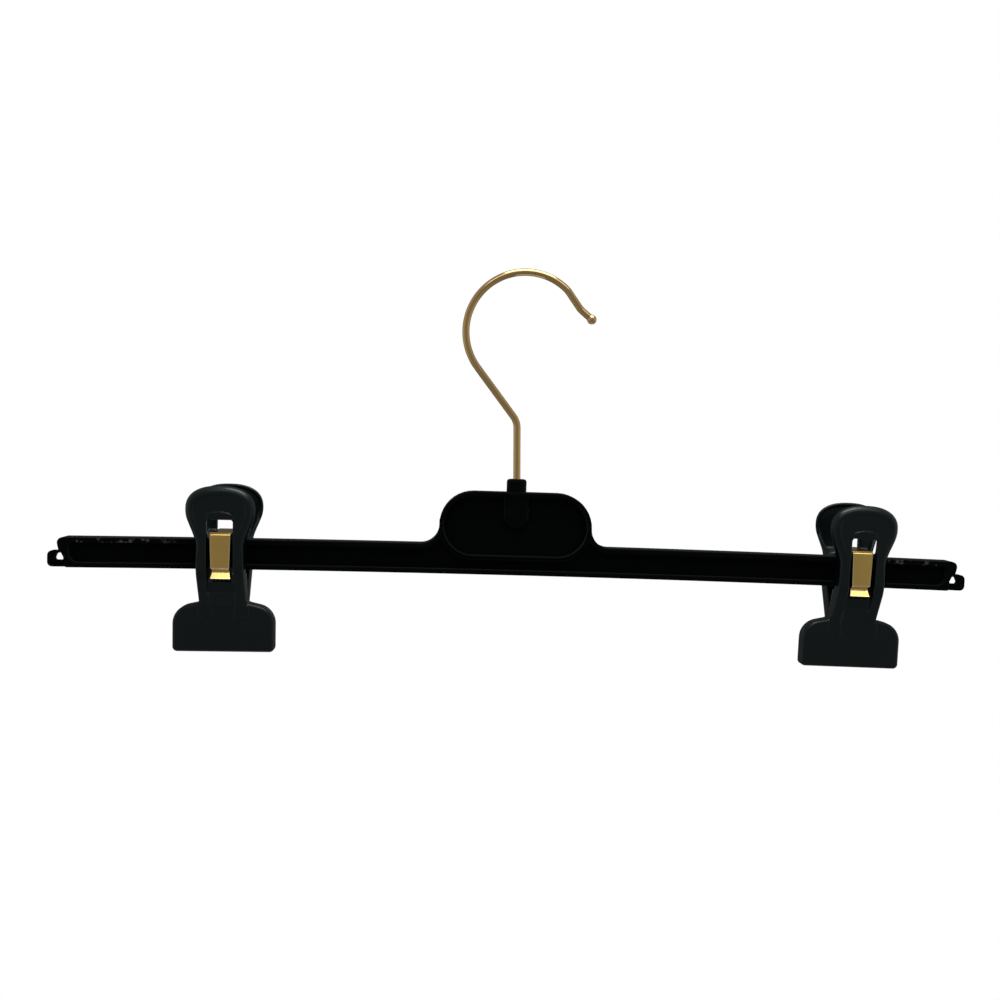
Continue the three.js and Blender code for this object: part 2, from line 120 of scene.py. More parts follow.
class BarSizes(PropertyGroup):
    """Sizes of the moulded bar, its boss and its end tabs."""

    length: length("Length", "From tab to tab", np.ptp(BAR_BOX[:, 0]) / MM)
    height: length("Height", "Height of the bar over its flock", 12.25)
    depth: length("Depth", "Depth of the bar over its flanges", np.ptp(BAR_BOX[:, 1]) / MM)
    sag: length("Sag", "How far the ends hang below the middle", 1.75)
    flange: length("Flange", "Thickness of the top and bottom flanges", 2)
    web: length("Web", "Thickness of the web between the flanges", 3)
    edge: length("Edge", "Round of the bar's flocked edges", 0.55)
    pocket_end: length("Pocket end", "From the end of the bar to its side pocket", 9)
    boss_width: length("Boss width", "Width of the oval boss", 62.8)
    boss_height: length("Boss height", "Top of the boss above the bar's middle line", 28)
    boss_radius: length("Boss radius", "Radius of the boss's round ends", 14)
    boss_fillet: length("Boss fillet", "Where the boss grows out of the bar's top", 7.5)
    rim: length("Rim", "Width of the boss's raised rim", 1.8)
    tongue_width: length("Tongue width", "Width of the hook's seat inside the boss", 9.8)
    tongue_depth: length("Tongue depth", "Thickness of the hook's seat", 7.6)
    tongue_bottom: length("Tongue bottom", "Above the bar's middle line", 13.6)
    door_width: length("Doorway width", "Opening for the hook's head at the back", 5.2)
    door_bottom: length("Doorway bottom", "Above the bar's middle line", 16.2)
    door_top: length("Doorway top", "Above the bar's middle line", 19.2)
    collar_height: length("Collar height", "Collar above the boss", 5.4)
    collar_width: length("Collar width", "Outer diameter of the collar", 8.2)
    collar_edge: length("Collar edge", "Round of the collar's top edge", 1.2)
    bore: length("Bore", "Diameter of the hook's bore", 3.4)
    tab_length: length("Tab length", "The tab stands out this far past the nose", 4.1)
    tab_depth: length("Tab depth", "Thickness of the end tabs", 3.6)
    tab_top: length("Tab top", "Above the bar's middle line", 0.5)
    tab_round: length("Tab round", "Radius of the tab's corners", 2)
    nose_round: length("Nose round", "Radius of the nose over the tab", 2.2)
    nose_lean: length("Nose lean", "The nose leans in by this much", 1.3)
    step_back: length("Step back", "The bar's lower end stops this far from the tab's end", 7.7)
    eye_top: length("Eye top", "Top of the tab's eye below the middle line", 0.5)
    eye_bottom: length("Eye bottom", "Bottom of the eye below the middle line", 3.5)
    eye_inner: length("Eye inner", "Inner corner of the eye from the tab's end", 7)
    eye_outer: length("Eye outer", "Outer corner of the eye from the tab's end", 2.2)
    eye_crown: length("Eye crown", "Width of the eye's narrower top", 2)
    eye_round: length("Eye round", "Radius of the eye's lower corners", 0.9)
    slit: length("Slit", "Width of the slit into the eye", 0.6)


class HookSizes(PropertyGroup):
    """Sizes of the wire hook."""

    wire: length("Wire", "Diameter of the wire", 2.94)
    radius: length("Radius", "Radius of the hook's curve to the middle of the wire", 24.35)
    offset: length("Offset", "Centre of the curve, sideways from the shank", 1.5)
    rise: length("Rise", "Centre of the curve above the bend", 36.6)
    shank: length("Shank", "From the collar to the bend", 23.7)
    lean: length("Lean", "Sideways lean of the shank at the bend", 0.7)
    bend: length("Bend", "Radius of the wire's bends", 8)
    mouth: length("Mouth", "Straight run after the curve", 9.25)
    tip_run: length("Tip run", "Straight run of the tip", 6.2)
    tip: length("Tip", "Diameter of the ball at the tip", 3.9)
    head: length("Head", "Diameter of the head at the shank's foot", 4.6)
    head_bottom: length("Head bottom", "Above the bar's middle line", 16.5)
    head_height: length("Head height", "Height of the head", 2.4)
    curve_end: angle("Curve end", "Where the curve ends, above level", 46)
    mouth_angle: angle("Mouth angle", "The mouth's run, from straight down", 36.2)
    tip_angle: angle("Tip angle", "The tip's run, from straight down", 50.5)


class ClipSizes(PropertyGroup):
    """Sizes of a clip's jaws and spring."""

    fulcrum: length("Fulcrum", "Height of the jaws' pivots above the bar's middle line", 5)
    spring_width: length("Spring width", "Width of the flat spring at its bridge and its feet", 8.6)
    spring_waist: length("Spring waist", "Width of the spring where it presses on the sill", 7.6)
    spring: length("Spring", "Thickness of the flat spring", 0.6)
    spring_bend: length("Spring bend", "Radius of the spring's top corners", 1.4)
    spring_top: length("Spring top", "Middle of the bridge above the bar's middle line", 9.15)
    leg_depth: length("Leg depth", "Depth of the spring's straight legs", 10.4)
    press_depth: length("Press depth", "Depth of the stretch that presses on the sill", 8.5)
    leg_foot: length("Leg foot", "Bottom of the straight leg below the middle line", 5)
    press_top: length("Press top", "Top of the pressing stretch below the middle line", 6.2)
    press_bottom: length("Press bottom", "Bottom of the pressing stretch below the middle line", 6.9)
    spring_foot: length("Spring foot", "End of the kicked-out foot below the middle line", 9.35)
    foot_depth: length("Foot depth", "Depth of the end of the kicked-out foot", 9.9)
    window_width: length("Window width", "Width of the jaw's window", 10.6)
    window_top: length("Window top", "Above the bar's middle line", 14.6)
    window_round: length("Window round", "Radius of the window's top corners", 1)
    sill_top: length("Sill top", "Top of the sill below the middle line", 4.6)
    lip_top: length("Lip top", "Top of the ramp under the spring's foot, below the middle line", 10.65)
    lip_depth: length("Lip depth", "Depth of the ramp's top", 8.4)
    sill_face: length("Sill face", "Depth of the sill's upright face", 7.9)
    ramp_end: length("Ramp end", "Where the ramp meets the face, below the middle line", 15.2)
    stem_width: length("Stem width", "Width of the jaw's stem", 19.1)
    paddle_width: length("Paddle width", "Width of the paddle", 27.8)
    paddle_top: length("Paddle top", "Above the bar's middle line", 28.2)
    paddle_rise: length("Paddle rise", "From the paddle's widest level to its top", 9.7)
    paddle_neck: length("Paddle neck", "Length over which the paddle narrows to the stem", 15.5)
    paddle_edge: length("Paddle edge", "Round of the paddle's outer edge", 3)
    paddle_wall: length("Paddle wall", "Rim round the hollow behind the paddle", 1.5)
    paddle_dish: length("Paddle dish", "The paddle's face lies this far below its border", 0.3)
    face_top: length("Face top", "Depth of the paddle's top edge", 12.9)
    face_knee: length("Face knee", "Depth of the face where it turns in", 11.4)
    knee: length("Knee", "Where the face turns in, below the middle line", 7)
    stem_foot: length("Stem foot", "Where the stem's face meets the plate's, below the middle line", 22.6)
    inside: length("Inside", "Depth of the jaw's inside beside the bar", 5.4)
    paddle_inside: length("Paddle inside", "Depth of the paddle's inner edge", 9.2)
    hollow: length("Hollow", "Depth of the hollow's floor behind the paddle, at the window's top", 9.9)
    hollow_top: length("Hollow top", "Depth of the hollow's floor at the paddle's top", 11.8)
    ledge: length("Ledge", "Depth that the stem reaches in to under the bar", 3.3)
    ledge_drop: length("Ledge drop", "Height of that ledge below the middle line", 7.2)
    grip_top: length("Grip top", "Top of the flat gripping face below the middle line", 16.5)
    plate_width: length("Plate width", "Width of the gripping plate", 41.4)
    plate_face: length("Plate face", "Depth of the plate's outer face", 3.3)
    plate_inside: length("Plate inside", "Depth of the plate's gripping face", 0.15)
    plate_bottom: length("Plate bottom", "Below the middle line", 40.35)
    plate_edge: length("Plate edge", "Round of the plate's outer edge", 1.5)
    plate_corner: length("Plate corner", "Radius of the plate's bottom corners", 2)
    shoulder_high: length("Shoulder high", "Inner end of the shoulder below the middle line", 19.8)
    shoulder_low: length("Shoulder low", "Outer end of the shoulder below the middle line", 22.5)
    shoulder_round: length("Shoulder round", "Radius of the shoulder's outer corner", 8)
    shoulder_fillet: length("Shoulder fillet", "Radius where the stem meets the shoulder", 2.1)
    rib_width: length("Rib width", "Width of the low ribs on the plate", 6.4)
    rib_stand: length("Rib stand", "Height of the low ribs on the plate", 0.35)
    rib_end: length("Rib end", "Round lower end of the ribs below the middle line", 28.6)
    ridge_pitch: length("Ridge pitch", "From one gripping ridge to the next", 2.4)
    ridge_depth: length("Ridge depth", "Depth of the grooves between the ridges", 0.5)


class Finishes(PropertyGroup):
    """Colours and gloss of the three finishes."""

    flock: colour("Flock", "Black flock on the bar", (0.0002, 0.0006, 0.0009))
    flock_sheen: share("Flock sheen", "Light that the fibres catch at a glancing angle", 0.07)
    plastic: colour("Plastic", "Satin plastic of the clips", (0.0005, 0.0030, 0.0032))
    plastic_roughness: share("Plastic roughness", "Roughness of the satin plastic", 0.3)
    hook_gold: colour("Hook gold", "Gold plating of the hook", (0.66, 0.44, 0.185))
    spring_gold: colour("Spring gold", "Gold plating of the springs", (0.83, 0.55, 0.16))
    hook_roughness: share("Hook roughness", "Roughness of the hook's gold", 0.1)
    spring_roughness: share("Spring roughness", "Roughness of the springs' gold", 0.2)


class StageLook(PropertyGroup):
    """Light, floor and camera."""

    floor: colour("Floor", "Pale floor", (0.86, 0.86, 0.86))
    drop: length("Floor drop", "Floor below the rail", 1200)
    fill: share("Fill", "Soft light from all round", 0.35)
    overhead: wattage("Overhead", "Overhead soft box", 4.4)
    front: wattage("Front", "Soft box above the camera", 1.8)
    lens: FloatProperty(
        name="Lens", description=f"Focal length on a {SENSOR} mm sensor", default=40.744, min=1, unit="CAMERA"
    )


class HangerSettings(PropertyGroup):
    """All settings of the hanger."""

    bar: PointerProperty(type=BarSizes)
    hook: PointerProperty(type=HookSizes)
    clip: PointerProperty(type=ClipSizes)
    finish: PointerProperty(type=Finishes)
    stage: PointerProperty(type=StageLook)


# Lines and curves

def unit(vectors):
    """Vectors at length one."""
    return vectors / np.linalg.norm(vectors, axis=-1, keepdims=True)


def square_to(vectors):
    """Flat vectors turned a quarter to the left: (a, b) becomes (-b, a)."""
    return np.stack([-vectors[..., 1], vectors[..., 0]], axis=-1)


def rise(values, start, end):
    """Smooth step 3 t t - 2 t t t, with t running from 0 at start to 1 at end."""
    t = np.clip((values - start) / (end - start), 0, 1)
    return t * t * (3 - 2 * t)


def rounded_path(corners, closed=False, steps=10):
    """Points along corners (across, up, radius), each corner replaced by its arc.

    An arc touches both sides of its corner: where the sides make an angle of 2 a, its centre is on the line
    that halves the angle, radius / sin(a) from the corner.
    """
    corners = np.asarray(corners, float)
    spots, radii = corners[:, :2], corners[:, 2]
    stretches = []
    for index, (spot, radius) in enumerate(zip(spots, radii)):
        if radius == 0 or not closed and index in (0, len(spots) - 1):
            stretches.append(spot[None])
            continue
        back = unit(spots[index - 1] - spot)
        ahead = unit(spots[(index + 1) % len(spots)] - spot)
        half = np.arccos(back @ ahead) / 2
        centre = spot + unit(back + ahead) * radius / np.sin(half)
        start = spot + back * radius / np.tan(half) - centre
        turn = (2 * half - np.pi) * np.sign(square_to(back) @ ahead)
        angles = turn * np.linspace(0, 1, steps + 1)[:, None]
        stretches.append(centre + np.cos(angles) * start + np.sin(angles) * square_to(start))
    return np.concatenate(stretches)


def reaches(path):
    """Distance of each point of a path from its start, along the path."""
    return np.concatenate([[0], np.cumsum(np.linalg.norm(np.diff(path, axis=0), axis=1))])


def points_at(path, distances):
    """Points of a path at distances from its start."""
    reach = reaches(path)
    return np.stack([np.interp(distances, reach, axis) for axis in path.T], axis=1)


def resample(path, count):
    """That many points along an open path, evenly spaced by its length."""
    return points_at(path, np.linspace(0, reaches(path)[-1], count))


def joined(stretches, counts):
    """Open stretches that follow each other as one line, with a set count of points in each."""
    points = [resample(stretch, count + 1)[:-1] for stretch, count in zip(stretches, counts)]
    return np.concatenate([*points, stretches[-1][-1:]])


def upright(spots, depths):
    """Points (across, depth, up) of flat spots (across, up) at their depths."""
    return np.stack([spots[..., 0], np.broadcast_to(depths, spots.shape[:-1]), spots[..., 1]], axis=-1)


def both_sides(half):
    """Closed loop of a right half, from bottom to top, and its mirror image."""
    return np.concatenate([half[:-1], (half * (-1, 1))[:0:-1]])


def outward(loop):
    """Unit vectors square to a closed loop that runs anticlockwise, pointing out of it."""
    return -square_to(unit(np.roll(loop, -1, 0) - np.roll(loop, 1, 0)))


# Shells

class Shell(NamedTuple):
    """A closed surface: points, four-cornered faces and three-cornered faces."""

    points: np.ndarray
    quads: np.ndarray
    fans: np.ndarray


def loft(rings, loop=False):
    """Shell of closed rings joined one to the next; rings[i, j] is point j round ring i.

    A loop joins the last ring to the first.  Otherwise a fan of triangles to its middle closes each end.
    The faces are turned round if the volume that they enclose, the sum of a . (b x c) / 6, is negative.
    """
    count, around = rings.shape[:2]
    points = rings.reshape(-1, 3)
    index = np.arange(count * around).reshape(count, around)
    near, far = (index, np.roll(index, -1, 0)) if loop else (index[:-1], index[1:])
    quads = np.stack([near, np.roll(near, -1, 1), np.roll(far, -1, 1), far], axis=-1).reshape(-1, 4)
    fans = np.empty((0, 3), int)
    if not loop:
        middles = len(points) + np.repeat([0, 1], around)
        ends = np.concatenate([index[0], index[-1]])
        nexts = np.concatenate([np.roll(index[0], -1), np.roll(index[-1], -1)])
        flip = np.repeat([True, False], around)
        fans = np.stack([np.where(flip, nexts, ends), np.where(flip, ends, nexts), middles], axis=-1)
        points = np.concatenate([points, rings[[0, -1]].mean(axis=1)])
    corners = points[np.concatenate([quads[:, :3], quads[:, [0, 2, 3]], fans])]
    if np.einsum("ij,ij->", corners[:, 0], np.cross(corners[:, 1], corners[:, 2])) < 0:
        quads, fans = quads[:, ::-1], fans[:, ::-1]
    return Shell(points, quads, fans)


def quarter(radius, steps=6):
    """Quarter arc as (distance in from the edge, drop below the face), from the side up onto the face."""
    angles = np.linspace(0, math.pi / 2, steps)
    return np.stack([radius * (1 - np.cos(angles)), radius * (1 - np.sin(angles))], axis=1)


def border_rings(outer, inner, depth, edge):
    """Sections of a border between two paired lines, of a depth centred on the middle plane.

    Each section runs round the border: up the outer side, over a quarter arc onto the front, across to the
    inner side, and round the back the same way.  A distance in from a side is measured towards the other.
    """
    flat_start = 1.35 * edge
    arc = np.concatenate([quarter(edge), [(flat_start, 0)]])
    side = np.concatenate([arc[:, 0], -arc[::-1, 0], -arc[:, 0], arc[::-1, 0]])
    drop = np.concatenate([arc[:, 1], arc[::-1, 1]])
    depths = np.concatenate([depth / 2 - drop, drop - depth / 2])
    on_outer = np.repeat([True, False, False, True], len(arc))
    across = unit(inner - outer)
    spots = np.where(on_outer[:, None], outer[:, None], inner[:, None]) + across[:, None] * side[:, None]
    return upright(spots, -depths)


def strip_rings(path, widths, thickness):
    """Sections of a strip carried along a flat path (depth, up): rectangles square to it.

    A section's corners are quarter ellipses, as wide as the strip is thick and nearly half as deep.
    """
    arc = quarter(1, 8)
    corner_depth = 0.48 * thickness
    across = widths[:, None] / 2 - arc[:, 0] * thickness
    through = thickness / 2 - arc[:, 1] * corner_depth
    sides = np.concatenate([across, -across[:, ::-1], -across, across[:, ::-1]], axis=1)
    lifts = np.concatenate([through, through[::-1], -through, -through[::-1]])
    normals = square_to(unit(np.gradient(path, axis=0)))
    spots = path[:, None] + normals[:, None] * lifts[:, None]
    return np.concatenate([sides[..., None], spots], axis=-1)


# Bar

def bar_loops(bar):
    """Outer and inner line of the bar's raised border, as closed loops of paired points.

    Each right half has four stretches of straight lines and arcs: along the bottom, round the end, along the
    top, and up the fillet over the boss.
    """
    counts = (48, 64, 48, 120)
    half, level = bar.height / 2, bar.height / 2 - bar.flange
    low_end = bar.length / 2 - bar.step_back
    nose = bar.length / 2 - bar.tab_length
    pocket = bar.length / 2 - bar.pocket_end
    boss, recess = bar.boss_width / 2, bar.boss_width / 2 - bar.rim
    turn = bar.boss_fillet + bar.flange
    lap = 2 * bar.nose_round
    small, middle, large = 0.4 * MM, 1 * MM, 4 * MM
    outer = [
        [(0, -half, 0), (low_end - lap, -half, 0)],
        [
            (low_end - lap, -half, 0), (low_end, -half, middle), (low_end, -bar.eye_top, small),
            (nose - bar.nose_lean, bar.tab_top, middle), (nose, half, bar.nose_round), (nose - lap, half, 0),
        ],
        [(nose - lap, half, 0), (boss + bar.boss_fillet, half, 0)],
        [
            (boss + bar.boss_fillet, half, 0), (boss, half, bar.boss_fillet),
            (boss, bar.boss_height, bar.boss_radius), (0, bar.boss_height, 0),
        ],
    ]
    inner = [
        [(0, -level, 0), (pocket - lap, -level, 0)],
        [
            (pocket - lap, -level, 0), (pocket, -level, large), (pocket, level, middle),
            (pocket - lap, level, 0),
        ],
        [(pocket - lap, level, 0), (recess + turn, level, 0)],
        [
            (recess + turn, level, 0), (recess, level, turn),
            (recess, bar.boss_height - bar.rim, bar.boss_radius - bar.rim), (0, bar.boss_height - bar.rim, 0),
        ],
    ]
    return [
        both_sides(joined([rounded_path(corners) for corners in line], counts)) for line in (outer, inner)
    ]


def bar_web(bar, outer, inner):
    """Web of the bar and floor of the boss: a plate whose edge runs along the middle of the border.

    Sections stand side by side along the bar, each a rectangle from the bottom border up to the top one.
    """
    line = (outer + inner) / 2
    top = line[line[:, 1] > bar.height / 2 - bar.flange]
    top = top[np.argsort(top[:, 0])]
    low = np.full(len(top), (bar.flange - bar.height) / 2)
    heights = np.stack([low, top[:, 1], top[:, 1], low], axis=1)
    depths = np.broadcast_to(np.array([-1, -1, 1, 1]) * bar.web / 2, heights.shape)
    across = np.broadcast_to(top[:, :1], heights.shape)
    return np.stack([across, depths, heights], axis=-1)


def boss_rim(bar):
    """Lower half of the boss's oval rim: a rounded section carried along straight lines and arcs."""
    edge = 0.8 * MM
    middle = bar.boss_width / 2 - bar.rim / 2
    low = bar.boss_height - 2 * bar.boss_radius + bar.rim / 2
    high = bar.boss_height - bar.boss_radius + bar.rim
    radius = bar.boss_radius - bar.rim / 2
    path = rounded_path(
        [(-middle, high, 0), (-middle, low, radius), (middle, low, radius), (middle, high, 0)], steps=40
    )
    path = resample(path, 180)
    shift = square_to(unit(np.gradient(path, axis=0))) * (bar.rim / 2 - TINY)
    return border_rings(path + shift, path - shift, bar.depth - 2 * TINY, edge)


def boss_tongue(bar):
    """Seat of the hook: level sections, rounded rectangles, with the head's doorway let into the back.

    Near the bottom a section's half width is that of a half circle, and its depth that of a quarter arc.
    """
    edge, lowest_angle = 0.9 * MM, 0.04
    bottom, top = bar.tongue_bottom, bar.boss_height - bar.rim / 2
    radius = bar.tongue_width / 2
    curve = bottom + radius * (1 - np.cos(np.linspace(lowest_angle, math.pi / 2, 30)))
    door = np.array([bar.door_bottom, bar.door_top])
    heights = np.unique(np.concatenate([curve, door - TINY, door + TINY, [top]]))
    half = np.sqrt(radius**2 - np.clip(radius - (heights - bottom), 0, None) ** 2)
    drop = np.clip(edge - (heights - bottom), 0, edge)
    depth = bar.tongue_depth / 2 - edge + np.sqrt(edge**2 - drop**2)
    corner = np.minimum(edge, half / 2)
    angles = np.linspace(0, math.pi / 2, 6)
    turn = np.concatenate([angles + quarters * math.pi / 2 for quarters in range(4)])
    right = np.repeat([1, -1, -1, 1], len(angles))
    front = np.repeat([1, 1, -1, -1], len(angles))
    across = right * (half - corner)[:, None] + corner[:, None] * np.cos(turn)
    depths = front * (depth - corner)[:, None] + corner[:, None] * np.sin(turn)
    in_door = (heights > bar.door_bottom) & (heights < bar.door_top)
    floor = np.where(in_door, bar.web / 2 - TINY, depth)
    jamb = np.minimum(bar.door_width / 2, (half - corner) / 2)
    door_across = np.stack([-jamb, -jamb + TINY, jamb - TINY, jamb], axis=1)
    door_depths = -np.stack([depth, floor, floor, depth], axis=1)
    back = [3 * len(angles)] * 4
    across = np.insert(across, back, door_across, axis=1)
    depths = np.insert(depths, back, door_depths, axis=1)
    return np.stack([across, -depths, np.broadcast_to(heights[:, None], across.shape)], axis=-1)


def boss_collar(bar):
    """Collar round the shank: a closed profile of radii and heights turned about the shank's line."""
    low, high = bar.boss_height - bar.rim / 2, bar.boss_height + bar.collar_height
    bore, wall, lip = bar.bore / 2, bar.collar_width / 2, 0.35 * MM
    profile = rounded_path([
        (bore, low, 0), (wall, low, 0), (wall, high, bar.collar_edge), (bore, high, lip),
    ], closed=True, steps=8)
    angles = np.linspace(0, 2 * math.pi, 64, endpoint=False)[:, None]
    radii, heights = profile[:, 0], np.broadcast_to(profile[:, 1], (len(angles), len(profile)))
    return np.stack([radii * np.cos(angles), radii * np.sin(angles), heights], axis=-1)


def bar_tab(bar, side):
    """End tab: a border between its outline and its eye, open where the slit leads in."""
    end, root = bar.length / 2, bar.length / 2 - bar.pocket_end
    slit = end - bar.tab_length - bar.nose_lean
    far = slit + bar.slit
    small = 0.6 * MM
    outline = rounded_path([
        (far, bar.tab_top, 0), (end, bar.tab_top, bar.tab_round), (end, -bar.height / 2, bar.tab_round),
        (root, -bar.height / 2, small), (root, bar.tab_top, small), (slit, bar.tab_top, 0),
    ])
    back = bar.slit / 3
    ahead = bar.eye_crown - back
    eye = rounded_path([
        (far, -bar.eye_top, 0), (slit + ahead, -bar.eye_top, small),
        (end - bar.eye_outer, -bar.eye_bottom, bar.eye_round),
        (end - bar.eye_inner, -bar.eye_bottom, bar.eye_round),
        (slit - back, -bar.eye_top, TINY), (slit, -bar.eye_top, 0),
    ])
    lines = [resample(line, 140) * (side, 1) for line in (outline, eye)]
    return border_rings(*lines, bar.tab_depth, small / 2)


def bar_middle(bar):
    """Middle of the bar's middle line, from the collar's top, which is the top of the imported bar."""
    return np.array([BAR_BOX[:, 0].mean(), 0, BAR_BOX[1, 2] - bar.boss_height - bar.collar_height])


def on_bar(bar, rings):
    """Points of the bar's own frame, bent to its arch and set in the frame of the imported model.

    The arch lowers a point by sag (x / half length) squared.
    """
    drop = bar.sag * (rings[..., 0] / (bar.length / 2)) ** 2
    return rings + bar_middle(bar) - np.stack([0 * drop, 0 * drop, drop], axis=-1)


# Hook

def hook_rings(bar, hook):
    """Wire hook: a circle carried up the shank, round the curve and out along the tip.

    The line has straight runs, arcs at the bends and the curve about its centre.  The circle's radius is the
    wire's, the head's at the foot, and at the tip that of a ball, the root of R R - s s at s from its centre.
    """
    lead, chamfer = 6, 0.3 * MM
    collar = bar.boss_height + bar.collar_height
    bend = np.array([-hook.lean, collar + hook.shank])
    centre = np.array([hook.offset, collar + hook.shank + hook.rise])
    arm = bend - centre
    first = 2 * math.pi + math.atan2(arm[1], arm[0]) - math.acos(hook.radius / np.linalg.norm(arm))
    angles = np.linspace(first, hook.curve_end, 200)
    curve = centre + hook.radius * np.stack([np.cos(angles), np.sin(angles)], axis=1)
    mouth = curve[-1] + hook.mouth * np.array([math.sin(hook.mouth_angle), -math.cos(hook.mouth_angle)])
    heading = np.array([math.sin(hook.tip_angle), -math.cos(hook.tip_angle)])
    ball = hook.tip / 2
    tip = mouth + hook.tip_run * heading
    shank = rounded_path(
        [(0, hook.head_bottom, 0), (0, collar, hook.shank), (*bend, hook.bend), (*curve[0], 0)], steps=24
    )
    end = rounded_path(
        [(*curve[-lead], 0), (*curve[-1], hook.bend), (*mouth, hook.bend), (*tip, 0)], steps=16
    )
    line = np.concatenate([shank, curve[1:-lead], end, [tip + 2 * ball * heading]])
    total = reaches(line)[-1] - 2 * ball
    foot = np.array([0, chamfer, hook.head_height - chamfer, hook.head_height, hook.head_height + TINY])
    ball_start, ball_end = -1.2, math.pi / 2 - 0.05
    close = total + ball * np.sin(np.linspace(ball_start, ball_end, 26))
    stations = np.concatenate([foot, np.linspace(foot[-1], close[0], 420)[1:-1], close])
    wire, head = hook.wire / 2, hook.head / 2
    radii = np.interp(stations, foot, [head - chamfer, head, head, head - chamfer, wire])
    round_tip = np.sqrt(np.clip(ball**2 - (stations - total) ** 2, 0, None))
    radii = np.where(stations > total, round_tip, np.maximum(radii, round_tip))[:, None]
    spots = points_at(line, stations)
    normals = square_to(unit(points_at(line, stations + MM / 10) - spots))
    turn = np.linspace(0, 2 * math.pi, 32, endpoint=False)
    flat = spots[:, None] + normals[:, None] * (radii * np.cos(turn))[..., None]
    return upright(flat, radii * np.sin(turn))


# Clips

class ClipPlace(NamedTuple):
    """Where a clip sits on the bar: its middle and its directions along the bar and up."""

    middle: np.ndarray
    along: np.ndarray
    up: np.ndarray


def clip_place(side, clip):
    """Frame of a clip, from its slide and its jaws' pivots, which lie at the height of the fulcrum."""
    along = unit(np.array(JOINTS[f"{side}_clip_slide"]["axis"], float))
    up = np.cross(along, (0, 1, 0))
    pivots = np.mean([JOINTS[f"{side}_{jaw}_jaw_pivot"]["pos_m"] for jaw in JAWS], axis=0)
    return ClipPlace(pivots - clip.fulcrum * up, along, up)


def on_clip(place, rings, jaw):
    """Points (across, depth, up) of a clip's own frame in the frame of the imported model.

    A front piece has its depths towards -Y; a rear piece is the same turned half round about the upright.
    """
    turn = 1 if jaw == "front" else -1
    across, depth, up = np.moveaxis(rings, -1, 0)[..., None]
    return place.middle + turn * across * place.along + up * place.up - turn * depth * np.array([0, 1, 0])


def spring_line(clip):
    """Middle line (depth, up) of half a spring: bridge, leg, step in, pressing stretch, kicked-out foot."""
    crease = 1.2 * clip.spring
    return rounded_path([
        (0, clip.spring_top, 0), (clip.leg_depth, clip.spring_top, clip.spring_bend),
        (clip.leg_depth, -clip.leg_foot, crease), (clip.press_depth, -clip.press_top, crease),
        (clip.press_depth, -clip.press_bottom, crease), (clip.foot_depth, -clip.spring_foot, 0),
    ])


def spring_painted_highlights(clip, rings):
    """Share of painted highlight at each point of a spring's sections and at the middles that close its ends.

    It is 1 within a rim's width of the strip's side edges, along the leg's lower bend, at the bend of the
    foot and at the foot's end, and fades out beyond.  There a paler gold stands in for the light they catch.
    """
    width, fade = 0.2 * MM, 0.25 * MM
    across, heights = np.abs(rings[..., 0]), rings[..., 2]
    from_side = across.max(axis=1, keepdims=True) - across
    lines = -np.array([clip.leg_foot, clip.press_bottom, clip.spring_foot])
    away = np.minimum(from_side, np.abs(heights[..., None] - lines).min(axis=-1))
    painted_highlight = 1 - rise(away, width, width + fade)
    bridge_end, foot_end = 0, 1
    return np.concatenate([painted_highlight.ravel(), [bridge_end, foot_end]])


def spring_widths(clip, heights):
    """Width of the spring at a height: its leg narrows evenly to the waist, and its foot widens again."""
    levels = (-clip.spring_foot, -clip.press_bottom, -clip.leg_foot, clip.spring_top)
    widths = (clip.spring_width, clip.spring_waist, clip.spring_waist, clip.spring_width)
    return np.interp(heights, levels, widths)


def face_depth(clip, heights):
    """Depth of the jaw's outer face at a height: straight runs with wide arcs at the knee and the foot."""
    knee_radius, foot_radius = 12 * MM, 6 * MM
    level = clip.plate_face + TINY
    profile = rounded_path([
        (clip.face_top, clip.paddle_top, 0), (clip.face_knee, -clip.knee, knee_radius),
        (level, -clip.stem_foot, foot_radius), (level, -clip.plate_bottom, 0),
    ], steps=24)[::-1]
    return np.interp(heights, profile[:, 1], profile[:, 0])


def inside_depth(clip, heights):
    """Depth of the jaw's inside at a height: gripping stretch, ledge, wall beside the bar and paddle.

    The pivot's ridge stands out of the wall as a parabola, 1 - t t with t from -1 to 1 over its height.
    """
    ridge, half = 0.6 * MM, 1.05 * MM
    pivot = [(clip.inside - ridge * (1 - t * t), clip.fulcrum + half * t) for t in (-1, -0.5, 0, 0.5, 1)]
    profile = np.array([
        (clip.plate_inside + 2 * ridge, -clip.stem_foot), (clip.plate_inside + ridge / 4, -clip.grip_top),
        (clip.ledge, -clip.ledge_drop - ridge / 2), (clip.inside, -clip.ledge_drop),
        *pivot, (clip.paddle_inside, clip.window_top),
    ])
    return np.interp(heights, profile[:, 1], profile[:, 0])


def handle_half_width(clip, heights):
    """Half width of the paddle and stem: a half cosine narrows the paddle to the stem over its neck."""
    widest = clip.paddle_top - clip.paddle_rise
    narrowed = np.clip((widest - heights) / clip.paddle_neck, 0, 1)
    stem, paddle = clip.stem_width / 2, clip.paddle_width / 2
    return stem + (paddle - stem) * (1 + np.cos(math.pi * narrowed)) / 2


